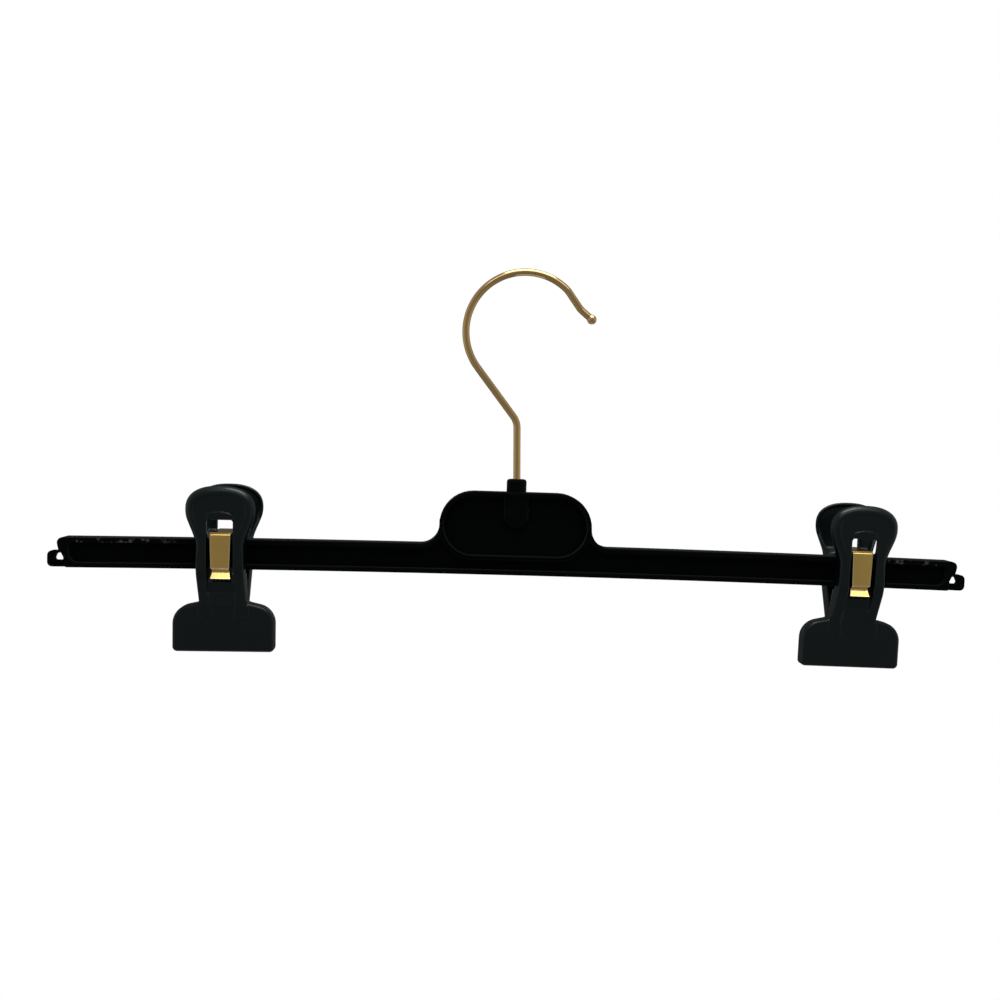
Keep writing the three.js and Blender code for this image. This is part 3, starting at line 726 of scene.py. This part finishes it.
def handle_loops(clip):
    """Outline of the paddle and stem, and of the window, as closed loops of paired points.

    The crown is the superellipse |x / a|^p + |z / b|^p = 1; below it come the sides and the foot.
    """
    power, crown_count, side_count, foot_count = 2.4, 120, 130, 30
    lap = 3.5 * MM
    foot = -clip.stem_foot - lap
    widest = clip.paddle_top - clip.paddle_rise
    angles = np.linspace(0, math.pi, crown_count, endpoint=False)
    crown = np.stack([
        clip.paddle_width / 2 * np.sign(np.cos(angles)) * np.abs(np.cos(angles)) ** (2 / power),
        widest + clip.paddle_rise * np.abs(np.sin(angles)) ** (2 / power),
    ], axis=1)
    heights = np.linspace(widest, foot, side_count + 1)[:-1]
    left = np.stack([-handle_half_width(clip, heights), heights], axis=1)
    heights = np.linspace(foot, widest, side_count + 1)[:-1]
    right = np.stack([handle_half_width(clip, heights), heights], axis=1)
    across = np.linspace(-1, 1, foot_count + 1)[:-1] * clip.stem_width / 2
    bottom = np.stack([across, np.full(foot_count, foot)], axis=1)
    half, top, low = clip.window_width / 2, clip.window_top, -clip.ramp_end
    arch_foot, corner = clip.window_top - clip.window_round, clip.window_round
    arch = [(half, arch_foot, 0), (half, top, corner), (-half, top, corner), (-half, arch_foot, 0)]
    stretches = [
        rounded_path(arch),
        np.array([(-half, arch_foot), (-half, low)]),
        np.array([(-half, low), (half, low)]),
        np.array([(half, low), (half, arch_foot)]),
    ]
    window = joined(stretches, (crown_count, side_count, foot_count, side_count))[:-1]
    return np.concatenate([crown, left, bottom, right]), window


def lines_to_rings(lines):
    """Rings (across, depth, up) of lines given as pairs of flat points and depths."""
    spots, depths = zip(*lines)
    return upright(np.array(spots), np.array(depths))


def handle_rings(clip):
    """Paddle and stem of a jaw: a section carried round the window, between the window and the outline.

    A section starts at the window, crosses the outer face, rounds the outer edge, goes in along the side and
    back across the inside.  Depths are those of the face and the inside at each point's height.  The outer
    edge is rounder round the paddle than along the stem.
    """
    outline, window = handle_loops(clip)
    out, away = outward(outline), outward(window)
    lip, inner_edge, stem_edge = 0.45 * MM, 0.7 * MM, 0.9 * MM
    edge_low, edge_high = -4 * MM, 14 * MM
    edge = stem_edge + (clip.paddle_edge - stem_edge) * rise(outline[:, 1], edge_low, edge_high)

    def inset(distance):
        return outline - out * np.broadcast_to(distance, len(outline))[:, None]

    def outset(distance):
        return window + away * distance

    def face(spots, drop):
        return spots, face_depth(clip, spots[:, 1]) - drop

    lines = [face(outset(step_in), drop) for step_in, drop in quarter(lip, 5)]
    start, end = outset(lip), inset(edge)
    span = np.linalg.norm(end - start, axis=1)
    for t in np.linspace(0, 1, 46)[1:]:
        spots = start + (end - start) * t
        lines.append(face(spots, face_relief(clip, spots, edge + (1 - t) * span)))
    lines += [face(inset(step_in * edge), drop * edge) for step_in, drop in quarter(1, 10)[-2::-1]]
    side_top, side_low = lines[-1][1], inside_depth(clip, outline[:, 1]) + inner_edge
    lines += [(outline, side_top + (side_low - side_top) * t) for t in (0.25, 0.5, 0.75)]
    for step_in, drop in quarter(inner_edge, 5):
        spots = inset(step_in)
        lines.append((spots, inside_depth(clip, spots[:, 1]) + drop))
    walls = [part * clip.paddle_wall for part in (0.7, 0.75, 1, 1.3, 1.6)]
    wall = walls[-1]
    start, end = inset(wall), outset(wall)
    span = np.linalg.norm(end - start, axis=1)
    inside = [(inset(margin), margin, np.inf) for margin in walls]
    for t in np.linspace(0, 1, 16)[1:-1]:
        inside.append((start + (end - start) * t, wall + t * span, wall + (1 - t) * span))
    inside += [(outset(margin), np.inf, margin) for margin in walls[::-1]]
    lines += [(spots, hollow_depth(clip, spots[:, 1], *margins)) for spots, *margins in inside]
    for step_in, drop in quarter(lip, 4)[::-1]:
        spots = outset(step_in)
        lines.append((spots, hollow_depth(clip, spots[:, 1], np.inf, step_in) + drop))
    return lines_to_rings(lines).swapaxes(0, 1)


def hollow_depth(clip, heights, from_edge, from_window):
    """Depth of the jaw's inside with the hollow behind its paddle.

    A rim stands round the hollow along the outline, and along the window only beside the spring.
    """
    wall = clip.paddle_wall
    rim_start, rim_end = 0.7 * wall, 1.3 * wall
    beside_spring, past_spring = clip.spring_top - 3 * MM, clip.spring_top + MM
    flat = inside_depth(clip, heights)
    from_window = from_window + 2 * wall * rise(heights, beside_spring, past_spring)
    sunk = rise(np.minimum(from_edge, from_window), rim_start, rim_end)
    sunk = sunk * rise(heights, clip.fulcrum + wall, clip.fulcrum + 3 * wall)
    lean = (clip.hollow_top - clip.hollow) / (clip.paddle_top - clip.window_top)
    floor = clip.hollow + lean * (heights - clip.window_top)
    return flat + np.clip(floor - flat, 0, None) * sunk


def face_relief(clip, spots, margin):
    """How far the jaw's outer face lies below its even profile; margin is the distance in from the outline.

    The paddle is dished inside its border, down to a brow above the window that ends in a wide arc.  Below
    the window the stem has a trough between its ribs.
    """
    border, border_slope = 3.1 * MM, 0.8 * MM
    dish_low, dish_high = clip.window_top - 8 * MM, clip.window_top + 2 * MM
    brow_top, brow_radius, brow_half = clip.window_top + 3.1 * MM, 11 * MM, 5.6 * MM
    brow_step, brow_slope = 0.35 * MM, 1.5 * MM
    trough_half, trough_slope = clip.window_width / 2 + 0.3 * MM, 0.8 * MM
    trough_top, trough_start = -clip.ramp_end + 0.2 * MM, 0.6 * MM
    across, heights = np.abs(spots[:, 0]), spots[:, 1]
    arc = brow_top - across**2 / (2 * brow_radius)
    brow = rise(arc - heights, -brow_step, 0) * rise(brow_half - across, 0, brow_slope)
    dish = rise(heights, dish_low, dish_high) * rise(margin, border, border + border_slope) * (1 - brow)
    trough = rise(trough_half - across, 0, trough_slope) * rise(trough_top - heights, 0, trough_start)
    return clip.paddle_dish * dish + TROUGH * trough


def sill_rings(clip):
    """Sill and ramp under the window: a side profile carried across it, into the stem on both sides."""
    small = 0.35 * MM
    ramp = face_depth(clip, np.array([-clip.ramp_end]))[0]
    deep = clip.plate_inside + MM
    profile = rounded_path([
        (clip.inside, -clip.sill_top, small), (clip.sill_face, -clip.sill_top, small),
        (clip.sill_face, -clip.lip_top + small, small), (clip.lip_depth, -clip.lip_top, small),
        (ramp - TROUGH, -clip.ramp_end - small, 0),
        (deep + MM, -clip.grip_top, 0), (deep, -clip.ramp_end, 0),
        (clip.ledge, -clip.ledge_drop - small, 0), (clip.inside, -clip.ledge_drop, 0),
    ], closed=True)
    across = np.array([-1, 1]) * (clip.window_width / 2 + small)
    rings = np.broadcast_to(profile, (len(across), *profile.shape))
    return np.concatenate([np.broadcast_to(across[:, None, None], (*rings.shape[:2], 1)), rings], axis=-1)


def pillow_rings(outline, middle, front, back, edge, back_edge, relief):
    """Closed plate inside an outline that can all be seen from its middle point.

    Loops run from the middle out over the front face, round both edges by quarter arcs and back to the
    middle.  relief gives how far the front and the back lie below their levels at each point.
    """
    out, level = outward(outline), np.ones(len(outline))
    shares = np.concatenate([[0.02], np.linspace(0, 1, 40)[1:]])
    lines = []
    for t in shares:
        spots = middle + (outline - out * edge - middle) * t
        lines.append((spots, front - relief(spots)[0]))
    lines += [(outline - out * step_in, (front - drop) * level) for step_in, drop in quarter(edge, 8)[-2::-1]]
    lines += [(outline - out * step_in, (back + drop) * level) for step_in, drop in quarter(back_edge, 5)]
    for t in shares[-2::-1]:
        spots = middle + (outline - out * back_edge - middle) * t
        lines.append((spots, back + relief(spots)[1]))
    return lines_to_rings(lines)


def plate_rings(clip):
    """Gripping plate: an outline of straight lines and arcs, with waves for gripping ridges on its inside."""
    lap, back_edge, top_round, plain = 0.35 * MM, 0.35 * MM, 1.55 * MM, 2 * MM
    half, neck = clip.plate_width / 2, clip.stem_width / 2 - lap
    side = rounded_path([
        (0, -clip.plate_bottom, 0), (half, -clip.plate_bottom, clip.plate_corner),
        (half, -clip.shoulder_low, clip.shoulder_round),
        (neck, -clip.shoulder_high, clip.shoulder_fillet),
        (neck, -clip.grip_top, top_round), (0, -clip.grip_top, 0),
    ], steps=24)
    outline = both_sides(resample(side, 211))
    middle = np.array([0, -(clip.plate_bottom + clip.shoulder_low) / 2])
    low, high = -clip.plate_bottom + plain, -clip.shoulder_low

    def relief(spots):
        heights = spots[:, 1]
        wave = (1 - np.cos(2 * math.pi * (heights - low) / clip.ridge_pitch)) / 2
        inside = rise(heights, low - TINY, low) * rise(-heights, -high - TINY, -high)
        return 0 * heights, clip.ridge_depth * wave**2 * inside

    return pillow_rings(
        outline, middle, clip.plate_face, clip.plate_inside, clip.plate_edge, back_edge, relief
    )


def rib_rings(clip, side):
    """Low rib on the plate below the stem's side, with a half round lower end."""
    back_edge, lap = 0.2 * MM, 2 * MM
    half = clip.rib_width / 2
    across = side * (clip.window_width / 2 + clip.stem_width / 2) / 2
    top = -clip.stem_foot + lap
    path = rounded_path([
        (0, -clip.rib_end, 0), (half, -clip.rib_end, half - TINY), (half, top, MM), (0, top, 0),
    ], steps=20)
    outline = both_sides(resample(path, 61)) + (across, 0)
    middle = np.array([across, (top - clip.rib_end) / 2])
    front, back = clip.plate_face + clip.rib_stand, clip.plate_face - clip.rib_stand
    return pillow_rings(
        outline, middle, front, back, 2 * clip.rib_stand, back_edge, lambda spots: 0 * spots.T
    )


# Shader maths

class Wire:
    """An output socket in a node tree; arithmetic on it adds Math nodes."""

    def __init__(self, tree, socket):
        self.tree = tree
        self.socket = socket

    def _math(self, operation, *values):
        return self.tree.node("ShaderNodeMath", {"operation": operation}, dict(enumerate(values)))

    def __add__(self, other):
        return self._math("ADD", self, other)

    def __radd__(self, other):
        return self._math("ADD", other, self)

    def __sub__(self, other):
        return self._math("SUBTRACT", self, other)

    def __rsub__(self, other):
        return self._math("SUBTRACT", other, self)

    def __mul__(self, other):
        return self._math("MULTIPLY", self, other)

    def __rmul__(self, other):
        return self._math("MULTIPLY", other, self)

    def __abs__(self):
        return self._math("ABSOLUTE", self)

    def __gt__(self, other):
        return self._math("GREATER_THAN", self, other)

    def __lt__(self, other):
        return self._math("LESS_THAN", self, other)

    def bounded(self, low, high):
        """The value kept between two bounds."""
        return self._math("MINIMUM", self._math("MAXIMUM", self, low), high)


class NodeTree:
    """A material's or the world's nodes."""

    def __init__(self, owner):
        owner.use_nodes = True
        self.nodes, self.links = owner.node_tree.nodes, owner.node_tree.links
        self.nodes.clear()

    def node(self, kind, settings=None, inputs=None, output=0):
        """Add a node, set it, fill its sockets by name or number, and return one of its outputs."""
        made = self.nodes.new(kind)
        for name, value in (settings or {}).items():
            if name == "stops":
                ramp = made.color_ramp.elements
                for index, (place, tone) in enumerate(value):
                    stop = ramp[index] if index < 2 else ramp.new(place)
                    stop.position, stop.color = place, (*tone, 1)
            else:
                setattr(made, name, value)
        for name, value in (inputs or {}).items():
            if isinstance(value, Wire):
                self.links.new(value.socket, made.inputs[name])
            else:
                made.inputs[name].default_value = value
        return Wire(self, made.outputs[output]) if made.outputs else None

    def blend(self, factor, first, second):
        """A colour between two colours; the Mix node's colour sockets only go by number."""
        inputs = {0: factor, 6: first, 7: second}
        return self.node("ShaderNodeMix", {"data_type": "RGBA", "clamp_factor": True}, inputs, 2)

    def axis(self, place, name):
        """One of the three numbers of a place."""
        return self.node("ShaderNodeSeparateXYZ", {}, {"Vector": place}, name)

    def scaled(self, place, scale):
        """A place scaled along each axis."""
        return self.node("ShaderNodeMapping", {}, {"Vector": place, "Scale": scale})

    def noise(self, place, scale, detail, roughness):
        """Noise of a fineness, from 0 to 1; scale counts its waves in a metre."""
        return self.node(
            "ShaderNodeTexNoise", {"noise_dimensions": "3D"},
            {"Vector": place, "Scale": scale, "Detail": detail, "Roughness": roughness},
        )

    def bump(self, height, distance, strength):
        """A normal that leans as a height does."""
        inputs = {"Height": height, "Distance": distance, "Strength": strength}
        return self.node("ShaderNodeBump", {}, inputs)


def rgba(tone, factor=1):
    """A colour setting, times a factor, as a socket's four numbers."""
    return (*(min(1, factor * part) for part in tone), 1)


def finish_of(name, sockets):
    """A material with one Principled shader whose sockets a function works out from its nodes and places."""
    material = bpy.data.materials.new(name)
    tree = NodeTree(material)
    place = tree.node("ShaderNodeTexCoord", output="Object")
    shader = tree.node("ShaderNodeBsdfPrincipled", {}, sockets(tree, place))
    tree.node("ShaderNodeOutputMaterial", {}, {"Surface": shader})
    return material


def flock_finish(bar, finish):
    """Black flock: short upright fibres that swallow light face on, catch it at the edges and hold lint.

    The lint lies in soft spots, the middles of half the cells of a Voronoi pattern, near the bar's ends on
    the front of the top flange.  A level is a height above the bar's middle line, which bows by its sag.
    """
    bow = bar.sag / (bar.length / 2) ** 2
    middle = float(bar_middle(bar)[2])
    lint_low, lint_high = 4.1 * MM, 5.9 * MM
    lint_start, lint_end, lint_fade = 138 * MM, 179 * MM, 10 * MM
    lint_grey = (0.12, 0.12, 0.115)

    def sockets(tree, place):
        fibres = tree.noise(place, scale=5200, detail=3, roughness=0.7)
        tufts = tree.noise(place, scale=900, detail=3, roughness=0.6)
        patches = tree.noise(place, scale=60, detail=2, roughness=0.5)
        out = abs(tree.axis(place, "X"))
        level = tree.axis(place, "Z") - middle + bow * out * out
        pattern = {"Vector": place, "Scale": 560}
        cells = tree.node("ShaderNodeTexVoronoi", {"feature": "F1"}, pattern, "Distance")
        picks = tree.node("ShaderNodeTexVoronoi", {"feature": "F1"}, pattern, "Color")
        pick = tree.node("ShaderNodeSeparateColor", {}, {"Color": picks}, "Red")
        held = ((out - lint_start) * (1 / lint_fade)).bounded(0, 1) * (out < lint_end)
        held = held * (level > lint_low) * (level < lint_high)
        spots = (4 * (0.6 - cells)).bounded(0, 1) * (pick > 0.5) * (1.6 * tufts - 0.3).bounded(0, 1)
        lift = 0.55 + 0.6 * fibres + 0.35 * tufts * patches
        tone = tree.blend(lift.bounded(0, 1), rgba(finish.flock, 0.35), rgba(finish.flock))
        return {
            "Base Color": tree.blend(spots * held, tone, rgba(lint_grey)),
            "Roughness": (0.86 + 0.14 * fibres).bounded(0, 1),
            "Normal": tree.bump(fibres + 0.5 * tufts, distance=0.00012, strength=0.55),
            "Specular IOR Level": 0.06, "Sheen Weight": finish.flock_sheen, "Sheen Roughness": 0.42,
            "Sheen Tint": (0.80, 0.95, 1.0, 1),
        }

    return finish_of("black_flock", sockets)


def plastic_finish(finish):
    """Satin black plastic: a fine moulded grain, faint flow marks and small scuffs."""
    def sockets(tree, place):
        grain = tree.noise(place, scale=3600, detail=3, roughness=0.6)
        flow = tree.noise(place, scale=70, detail=3, roughness=0.55)
        scuffs = tree.noise(tree.scaled(place, (0.25, 1, 1.6)), scale=480, detail=4, roughness=0.65)
        rough = finish.plastic_roughness + 0.10 * (scuffs - 0.5) + 0.08 * (grain - 0.5)
        return {
            "Base Color": tree.blend(flow, rgba(finish.plastic, 0.86), rgba(finish.plastic, 1.14)),
            "Roughness": rough.bounded(0.2, 0.7),
            "Normal": tree.bump(grain + 0.6 * scuffs, distance=0.00003, strength=0.22),
            "Specular IOR Level": 0.35, "Specular Tint": (0.86, 1, 0.98, 1),
        }

    return finish_of("satin_black_plastic", sockets)


def gold_finish(name, gold, roughness):
    """Satin gold plating: fine drawing lines, slightly uneven colour and gloss, and painted highlights on
    rims.
    """
    # Pale gold painted on a spring's edges and bends as a highlight, where its rim attribute says
    painted_highlight = (1, 0.8, 0.46)

    def sockets(tree, place):
        rim = tree.node("ShaderNodeAttribute", {"attribute_name": PAINTED_HIGHLIGHT}, output="Fac")
        mist = tree.noise(place, scale=240, detail=3, roughness=0.6)
        fine = tree.noise(place, scale=4200, detail=2, roughness=0.6)
        drawn = tree.noise(tree.scaled(place, (1, 1, 0.06)), scale=2600, detail=3, roughness=0.6)
        tone = tree.blend(mist, rgba(gold, 0.93), rgba(gold, 1.06))
        rough = roughness + 0.08 * (mist - 0.5) + 0.05 * (drawn - 0.5)
        return {
            "Base Color": tree.blend(rim, tone, rgba(painted_highlight)), "Metallic": 1.0,
            "Roughness": rough.bounded(0.12, 0.6),
            "Normal": tree.bump(drawn + 0.3 * fine, distance=0.00001, strength=0.05),
        }

    return finish_of(name, sockets)


# Pieces

def add_object(name, data):
    """A new object of the scene, at the origin."""
    made = bpy.data.objects.new(name, data)
    bpy.context.scene.collection.objects.link(made)
    return made


def add_piece(name, shells, material, painted_highlights=None):
    """A mesh of closed shells, smooth except across sharp edges, with its place in its points.

    The last argument, if given, says how far each point gets a painted highlight, from 0 to 1.
    """
    starts = np.cumsum([0] + [len(shell.points) for shell in shells[:-1]])
    faces = []
    for start, shell in zip(starts, shells):
        faces += (shell.quads + start).tolist() + (shell.fans + start).tolist()
    mesh = bpy.data.meshes.new(name)
    mesh.from_pydata(np.concatenate([shell.points for shell in shells]), [], faces)
    mesh.shade_smooth()
    mesh.set_sharp_from_angle(angle=SHARP_ANGLE)
    mesh.materials.append(material)
    if painted_highlights is not None:
        mesh.attributes.new(PAINTED_HIGHLIGHT, "FLOAT", "POINT").data.foreach_set("value", painted_highlights.astype(np.float32))
    piece = add_object(name, mesh)
    return piece


class HANGER_OT_bar(Operator):
    """Build the flocked bar with its boss, hook seat and end tabs"""

    bl_idname = "hanger.bar"
    bl_label = "Build bar"

    def execute(self, context):
        bar, finish = context.scene.hanger.bar, context.scene.hanger.finish
        outer, inner = bar_loops(bar)
        shells = [
            loft(on_bar(bar, border_rings(outer, inner, bar.depth, bar.edge)), loop=True),
            loft(on_bar(bar, bar_web(bar, outer, inner))),
            loft(on_bar(bar, boss_rim(bar))),
            loft(on_bar(bar, boss_tongue(bar))),
            loft(on_bar(bar, boss_collar(bar)), loop=True),
            *[loft(on_bar(bar, bar_tab(bar, side))) for side in (-1, 1)],
        ]
        piece = add_piece("flocked_bar", shells, flock_finish(bar, finish))
        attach(piece, "hanger_bar")
        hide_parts("hanger_bar")
        return {"FINISHED"}


class HANGER_OT_hook(Operator):
    """Build the gold wire hook"""

    bl_idname = "hanger.hook"
    bl_label = "Build hook"

    def execute(self, context):
        settings = context.scene.hanger
        rings = hook_rings(settings.bar, settings.hook)
        material = gold_finish("satin_gold_wire", settings.finish.hook_gold, settings.finish.hook_roughness)
        piece = add_piece("wire_hook", [loft(rings + bar_middle(settings.bar))], material)
        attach(piece, "hook")
        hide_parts("hook")
        return {"FINISHED"}


class HANGER_OT_jaws(Operator):
    """Build the four jaws of the clips"""

    bl_idname = "hanger.jaws"
    bl_label = "Build jaws"

    def execute(self, context):
        clip = context.scene.hanger.clip
        material = plastic_finish(context.scene.hanger.finish)
        parts = [(handle_rings(clip), True), (sill_rings(clip), False), (plate_rings(clip), False)]
        parts += [(rib_rings(clip, side), False) for side in (-1, 1)]
        for side in SIDES:
            place = clip_place(side, clip)
            for jaw in JAWS:
                shells = [loft(on_clip(place, rings, jaw), loop) for rings, loop in parts]
                piece = add_piece(f"{side}_{jaw}_moulded_jaw", shells, material)
                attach(piece, f"{side}_{jaw}_jaw")
                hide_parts(f"{side}_{jaw}_jaw")
        return {"FINISHED"}


class HANGER_OT_springs(Operator):
    """Build the clips' flat springs, each in two halves, one for each jaw"""

    bl_idname = "hanger.springs"
    bl_label = "Build springs"

    def execute(self, context):
        clip, finish = context.scene.hanger.clip, context.scene.hanger.finish
        material = gold_finish("satin_gold_strip", finish.spring_gold, finish.spring_roughness)
        stiff = 2 * MM
        path = resample(spring_line(clip), 160)
        rings = strip_rings(path, spring_widths(clip, path[:, 1]), clip.spring)
        # Share of painted highlight on the spring's edges and bends
        painted_highlights = spring_painted_highlights(clip, rings)
        for side in SIDES:
            place = clip_place(side, clip)
            for jaw in JAWS:
                shell = loft(on_clip(place, rings, jaw))
                piece = add_piece(f"{side}_{jaw}_spring_leg", [shell], material, painted_highlights)
                still = place.middle + place.up * (clip.spring_top - stiff)
                moved = place.middle - place.up * clip.press_bottom
                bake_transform(piece)
                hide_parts(f"{side}_spring")
        return {"FINISHED"}


class HANGER_OT_stage(Operator):
    """Set up the floor, the light and the camera"""

    bl_idname = "hanger.stage"
    bl_label = "Set up stage"

    def execute(self, context):
        stage = context.scene.hanger.stage
        context.scene.view_settings.view_transform = "Standard"
        add_world(stage)
        add_floor(stage)
        add_soft_box(
            "overhead_box", stage.overhead, size=(0.54, 0.3), place=(0.08, -0.1, 0.65), target=(0.08, -0.1, 0)
        )
        add_soft_box(
            "front_box", stage.front, size=(1.04, 0.25), place=(0.1, -0.6, 0.62), target=(0.02, 0, -0.12)
        )
        add_camera(stage)
        return {"FINISHED"}


def ray_kinds(tree):
    """Whether a ray shows the background: straight to the camera or through glass, and by way of gloss."""
    rays = tree.node("ShaderNodeLightPath").socket.node.outputs
    camera, glossy, through = (
        Wire(tree, rays[f"Is {kind} Ray"]) for kind in ("Camera", "Glossy", "Transmission")
    )
    return (camera + through).bounded(0, 1), glossy


def add_world(stage):
    """White past the hanger, soft light all round, and in its gloss a dim studio, white straight behind.

    The studio's grey goes by the heading from in front of the hanger, 0, to behind it, 1.  It is darker
    towards the ground and a little darker overhead.
    """
    greys = (
        (0, 0.25), (0.1, 0.32), (0.3, 0.44), (0.55, 0.62), (0.8, 0.36), (0.95, 0.09), (0.994, 0.09), (1, 1),
    )
    ground_loss, overhead_loss = 0.6, 0.25
    world = bpy.data.worlds.new("studio")
    bpy.context.scene.world = world
    tree = NodeTree(world)
    shown, glossy = ray_kinds(tree)
    heading = tree.node("ShaderNodeTexCoord", output="Generated")
    behind, up = tree.axis(heading, "Y"), tree.axis(heading, "Z")
    stops = [(place, (grey,) * 3) for place, grey in greys]
    studio = tree.node("ShaderNodeValToRGB", {"stops": stops}, {"Fac": 0.5 * behind + 0.5})
    shade = 1 + ground_loss * up.bounded(-1, 0) - overhead_loss * up.bounded(0, 1)
    level = shown + (1 - shown) * (glossy * (studio * shade) + stage.fill * (1 - glossy))
    surface = tree.node("ShaderNodeBackground", {}, {"Color": WHITE, "Strength": level})
    tree.node("ShaderNodeOutputWorld", {}, {"Surface": surface})


def add_floor(stage):
    """Pale floor that takes the hanger's shadow below it and runs out into the white background all round."""
    reach, dim = 0.35, 0.6
    corners = np.array([(-1, -1), (1, -1), (1, 1), (-1, 1)]) * reach
    mesh = bpy.data.meshes.new("floor")
    mesh.from_pydata([(x, y, -stage.drop) for x, y in corners], [], [(0, 1, 2, 3)])
    material = bpy.data.materials.new("pale_floor")
    tree = NodeTree(material)
    shown, glossy = ray_kinds(tree)
    level = tree.scaled(tree.node("ShaderNodeTexCoord", output="Object"), (1, 1, 0))
    away = tree.node("ShaderNodeVectorMath", {"operation": "LENGTH"}, {0: level}, "Value")
    bright = dim + (1 - dim) * (away * (2 / reach) - 1).bounded(0, 1)
    plain = tree.node("ShaderNodeBsdfDiffuse", {}, {"Color": rgba(stage.floor)})
    glow = tree.node("ShaderNodeEmission", {}, {"Color": WHITE, "Strength": 1.0})
    mix = {0: (shown + glossy).bounded(0, 1) * bright, 1: plain, 2: glow}
    surface = tree.node("ShaderNodeMixShader", {}, mix)
    tree.node("ShaderNodeOutputMaterial", {}, {"Surface": surface})
    mesh.materials.append(material)
    add_object("floor", mesh)


def add_soft_box(name, power, size, place, target):
    """A rectangular lamp of a size at a place, turned towards a target."""
    lamp = bpy.data.lights.new(name, "AREA")
    lamp.shape = "RECTANGLE"
    lamp.size, lamp.size_y = size
    lamp.energy = power
    box = add_object(name, lamp)
    box.location = place
    heading = Vector(target) - Vector(place)
    box.rotation_euler = heading.to_track_quat("-Z", "Y").to_euler()


def add_camera(stage):
    """Camera at the photograph's place: looking a little right and down, rolled a little."""
    eye = np.array([-28.85, -466.29, -65.07]) * MM
    yaw, pitch, roll = np.radians([2.539, 3.31, 1.85])
    ahead = np.array([math.sin(yaw) * math.cos(pitch), math.cos(yaw) * math.cos(pitch), -math.sin(pitch)])
    level = np.array([math.cos(yaw), -math.sin(yaw), 0])
    over = np.cross(level, ahead)
    right = math.cos(roll) * level + math.sin(roll) * over
    up = math.cos(roll) * over - math.sin(roll) * level
    lens = bpy.data.cameras.new("camera")
    lens.lens = stage.lens
    lens.sensor_width = SENSOR
    lens.clip_start = 10 * MM
    camera = add_object("camera", lens)
    turn = np.eye(4)
    turn[:3, :3] = np.stack([right, up, -ahead], axis=1)
    turn[:3, 3] = eye
    camera.matrix_world = Matrix(turn.tolist())
    bpy.context.scene.camera = camera


class HANGER_PT_sidebar(Panel):
    """Lists the hanger's steps and settings"""

    bl_label = "Clip hanger"
    bl_idname = "HANGER_PT_sidebar"
    bl_space_type = "VIEW_3D"
    bl_region_type = "UI"
    bl_category = "Hanger"

    def draw(self, context):
        settings = context.scene.hanger
        for operator in OPERATORS:
            self.layout.operator(operator.bl_idname)
        for group in (settings.bar, settings.hook, settings.clip, settings.finish, settings.stage):
            box = self.layout.box()
            for name in group.__annotations__:
                box.prop(group, name)


OPERATORS = (HANGER_OT_bar, HANGER_OT_hook, HANGER_OT_jaws, HANGER_OT_springs, HANGER_OT_stage)
CLASSES = (
    BarSizes, HookSizes, ClipSizes, Finishes, StageLook, HangerSettings, *OPERATORS, HANGER_PT_sidebar
)


def register():
    for cls in CLASSES:
        bpy.utils.register_class(cls)
    bpy.types.Scene.hanger = PointerProperty(type=HangerSettings)


def unregister():
    del bpy.types.Scene.hanger
    for cls in reversed(CLASSES):
        bpy.utils.unregister_class(cls)


def main():
    register()
    bpy.ops.hanger.bar()
    bpy.ops.hanger.hook()
    bpy.ops.hanger.jaws()
    bpy.ops.hanger.springs()
    bpy.ops.hanger.stage()


if __name__ == "__main__":
    main()
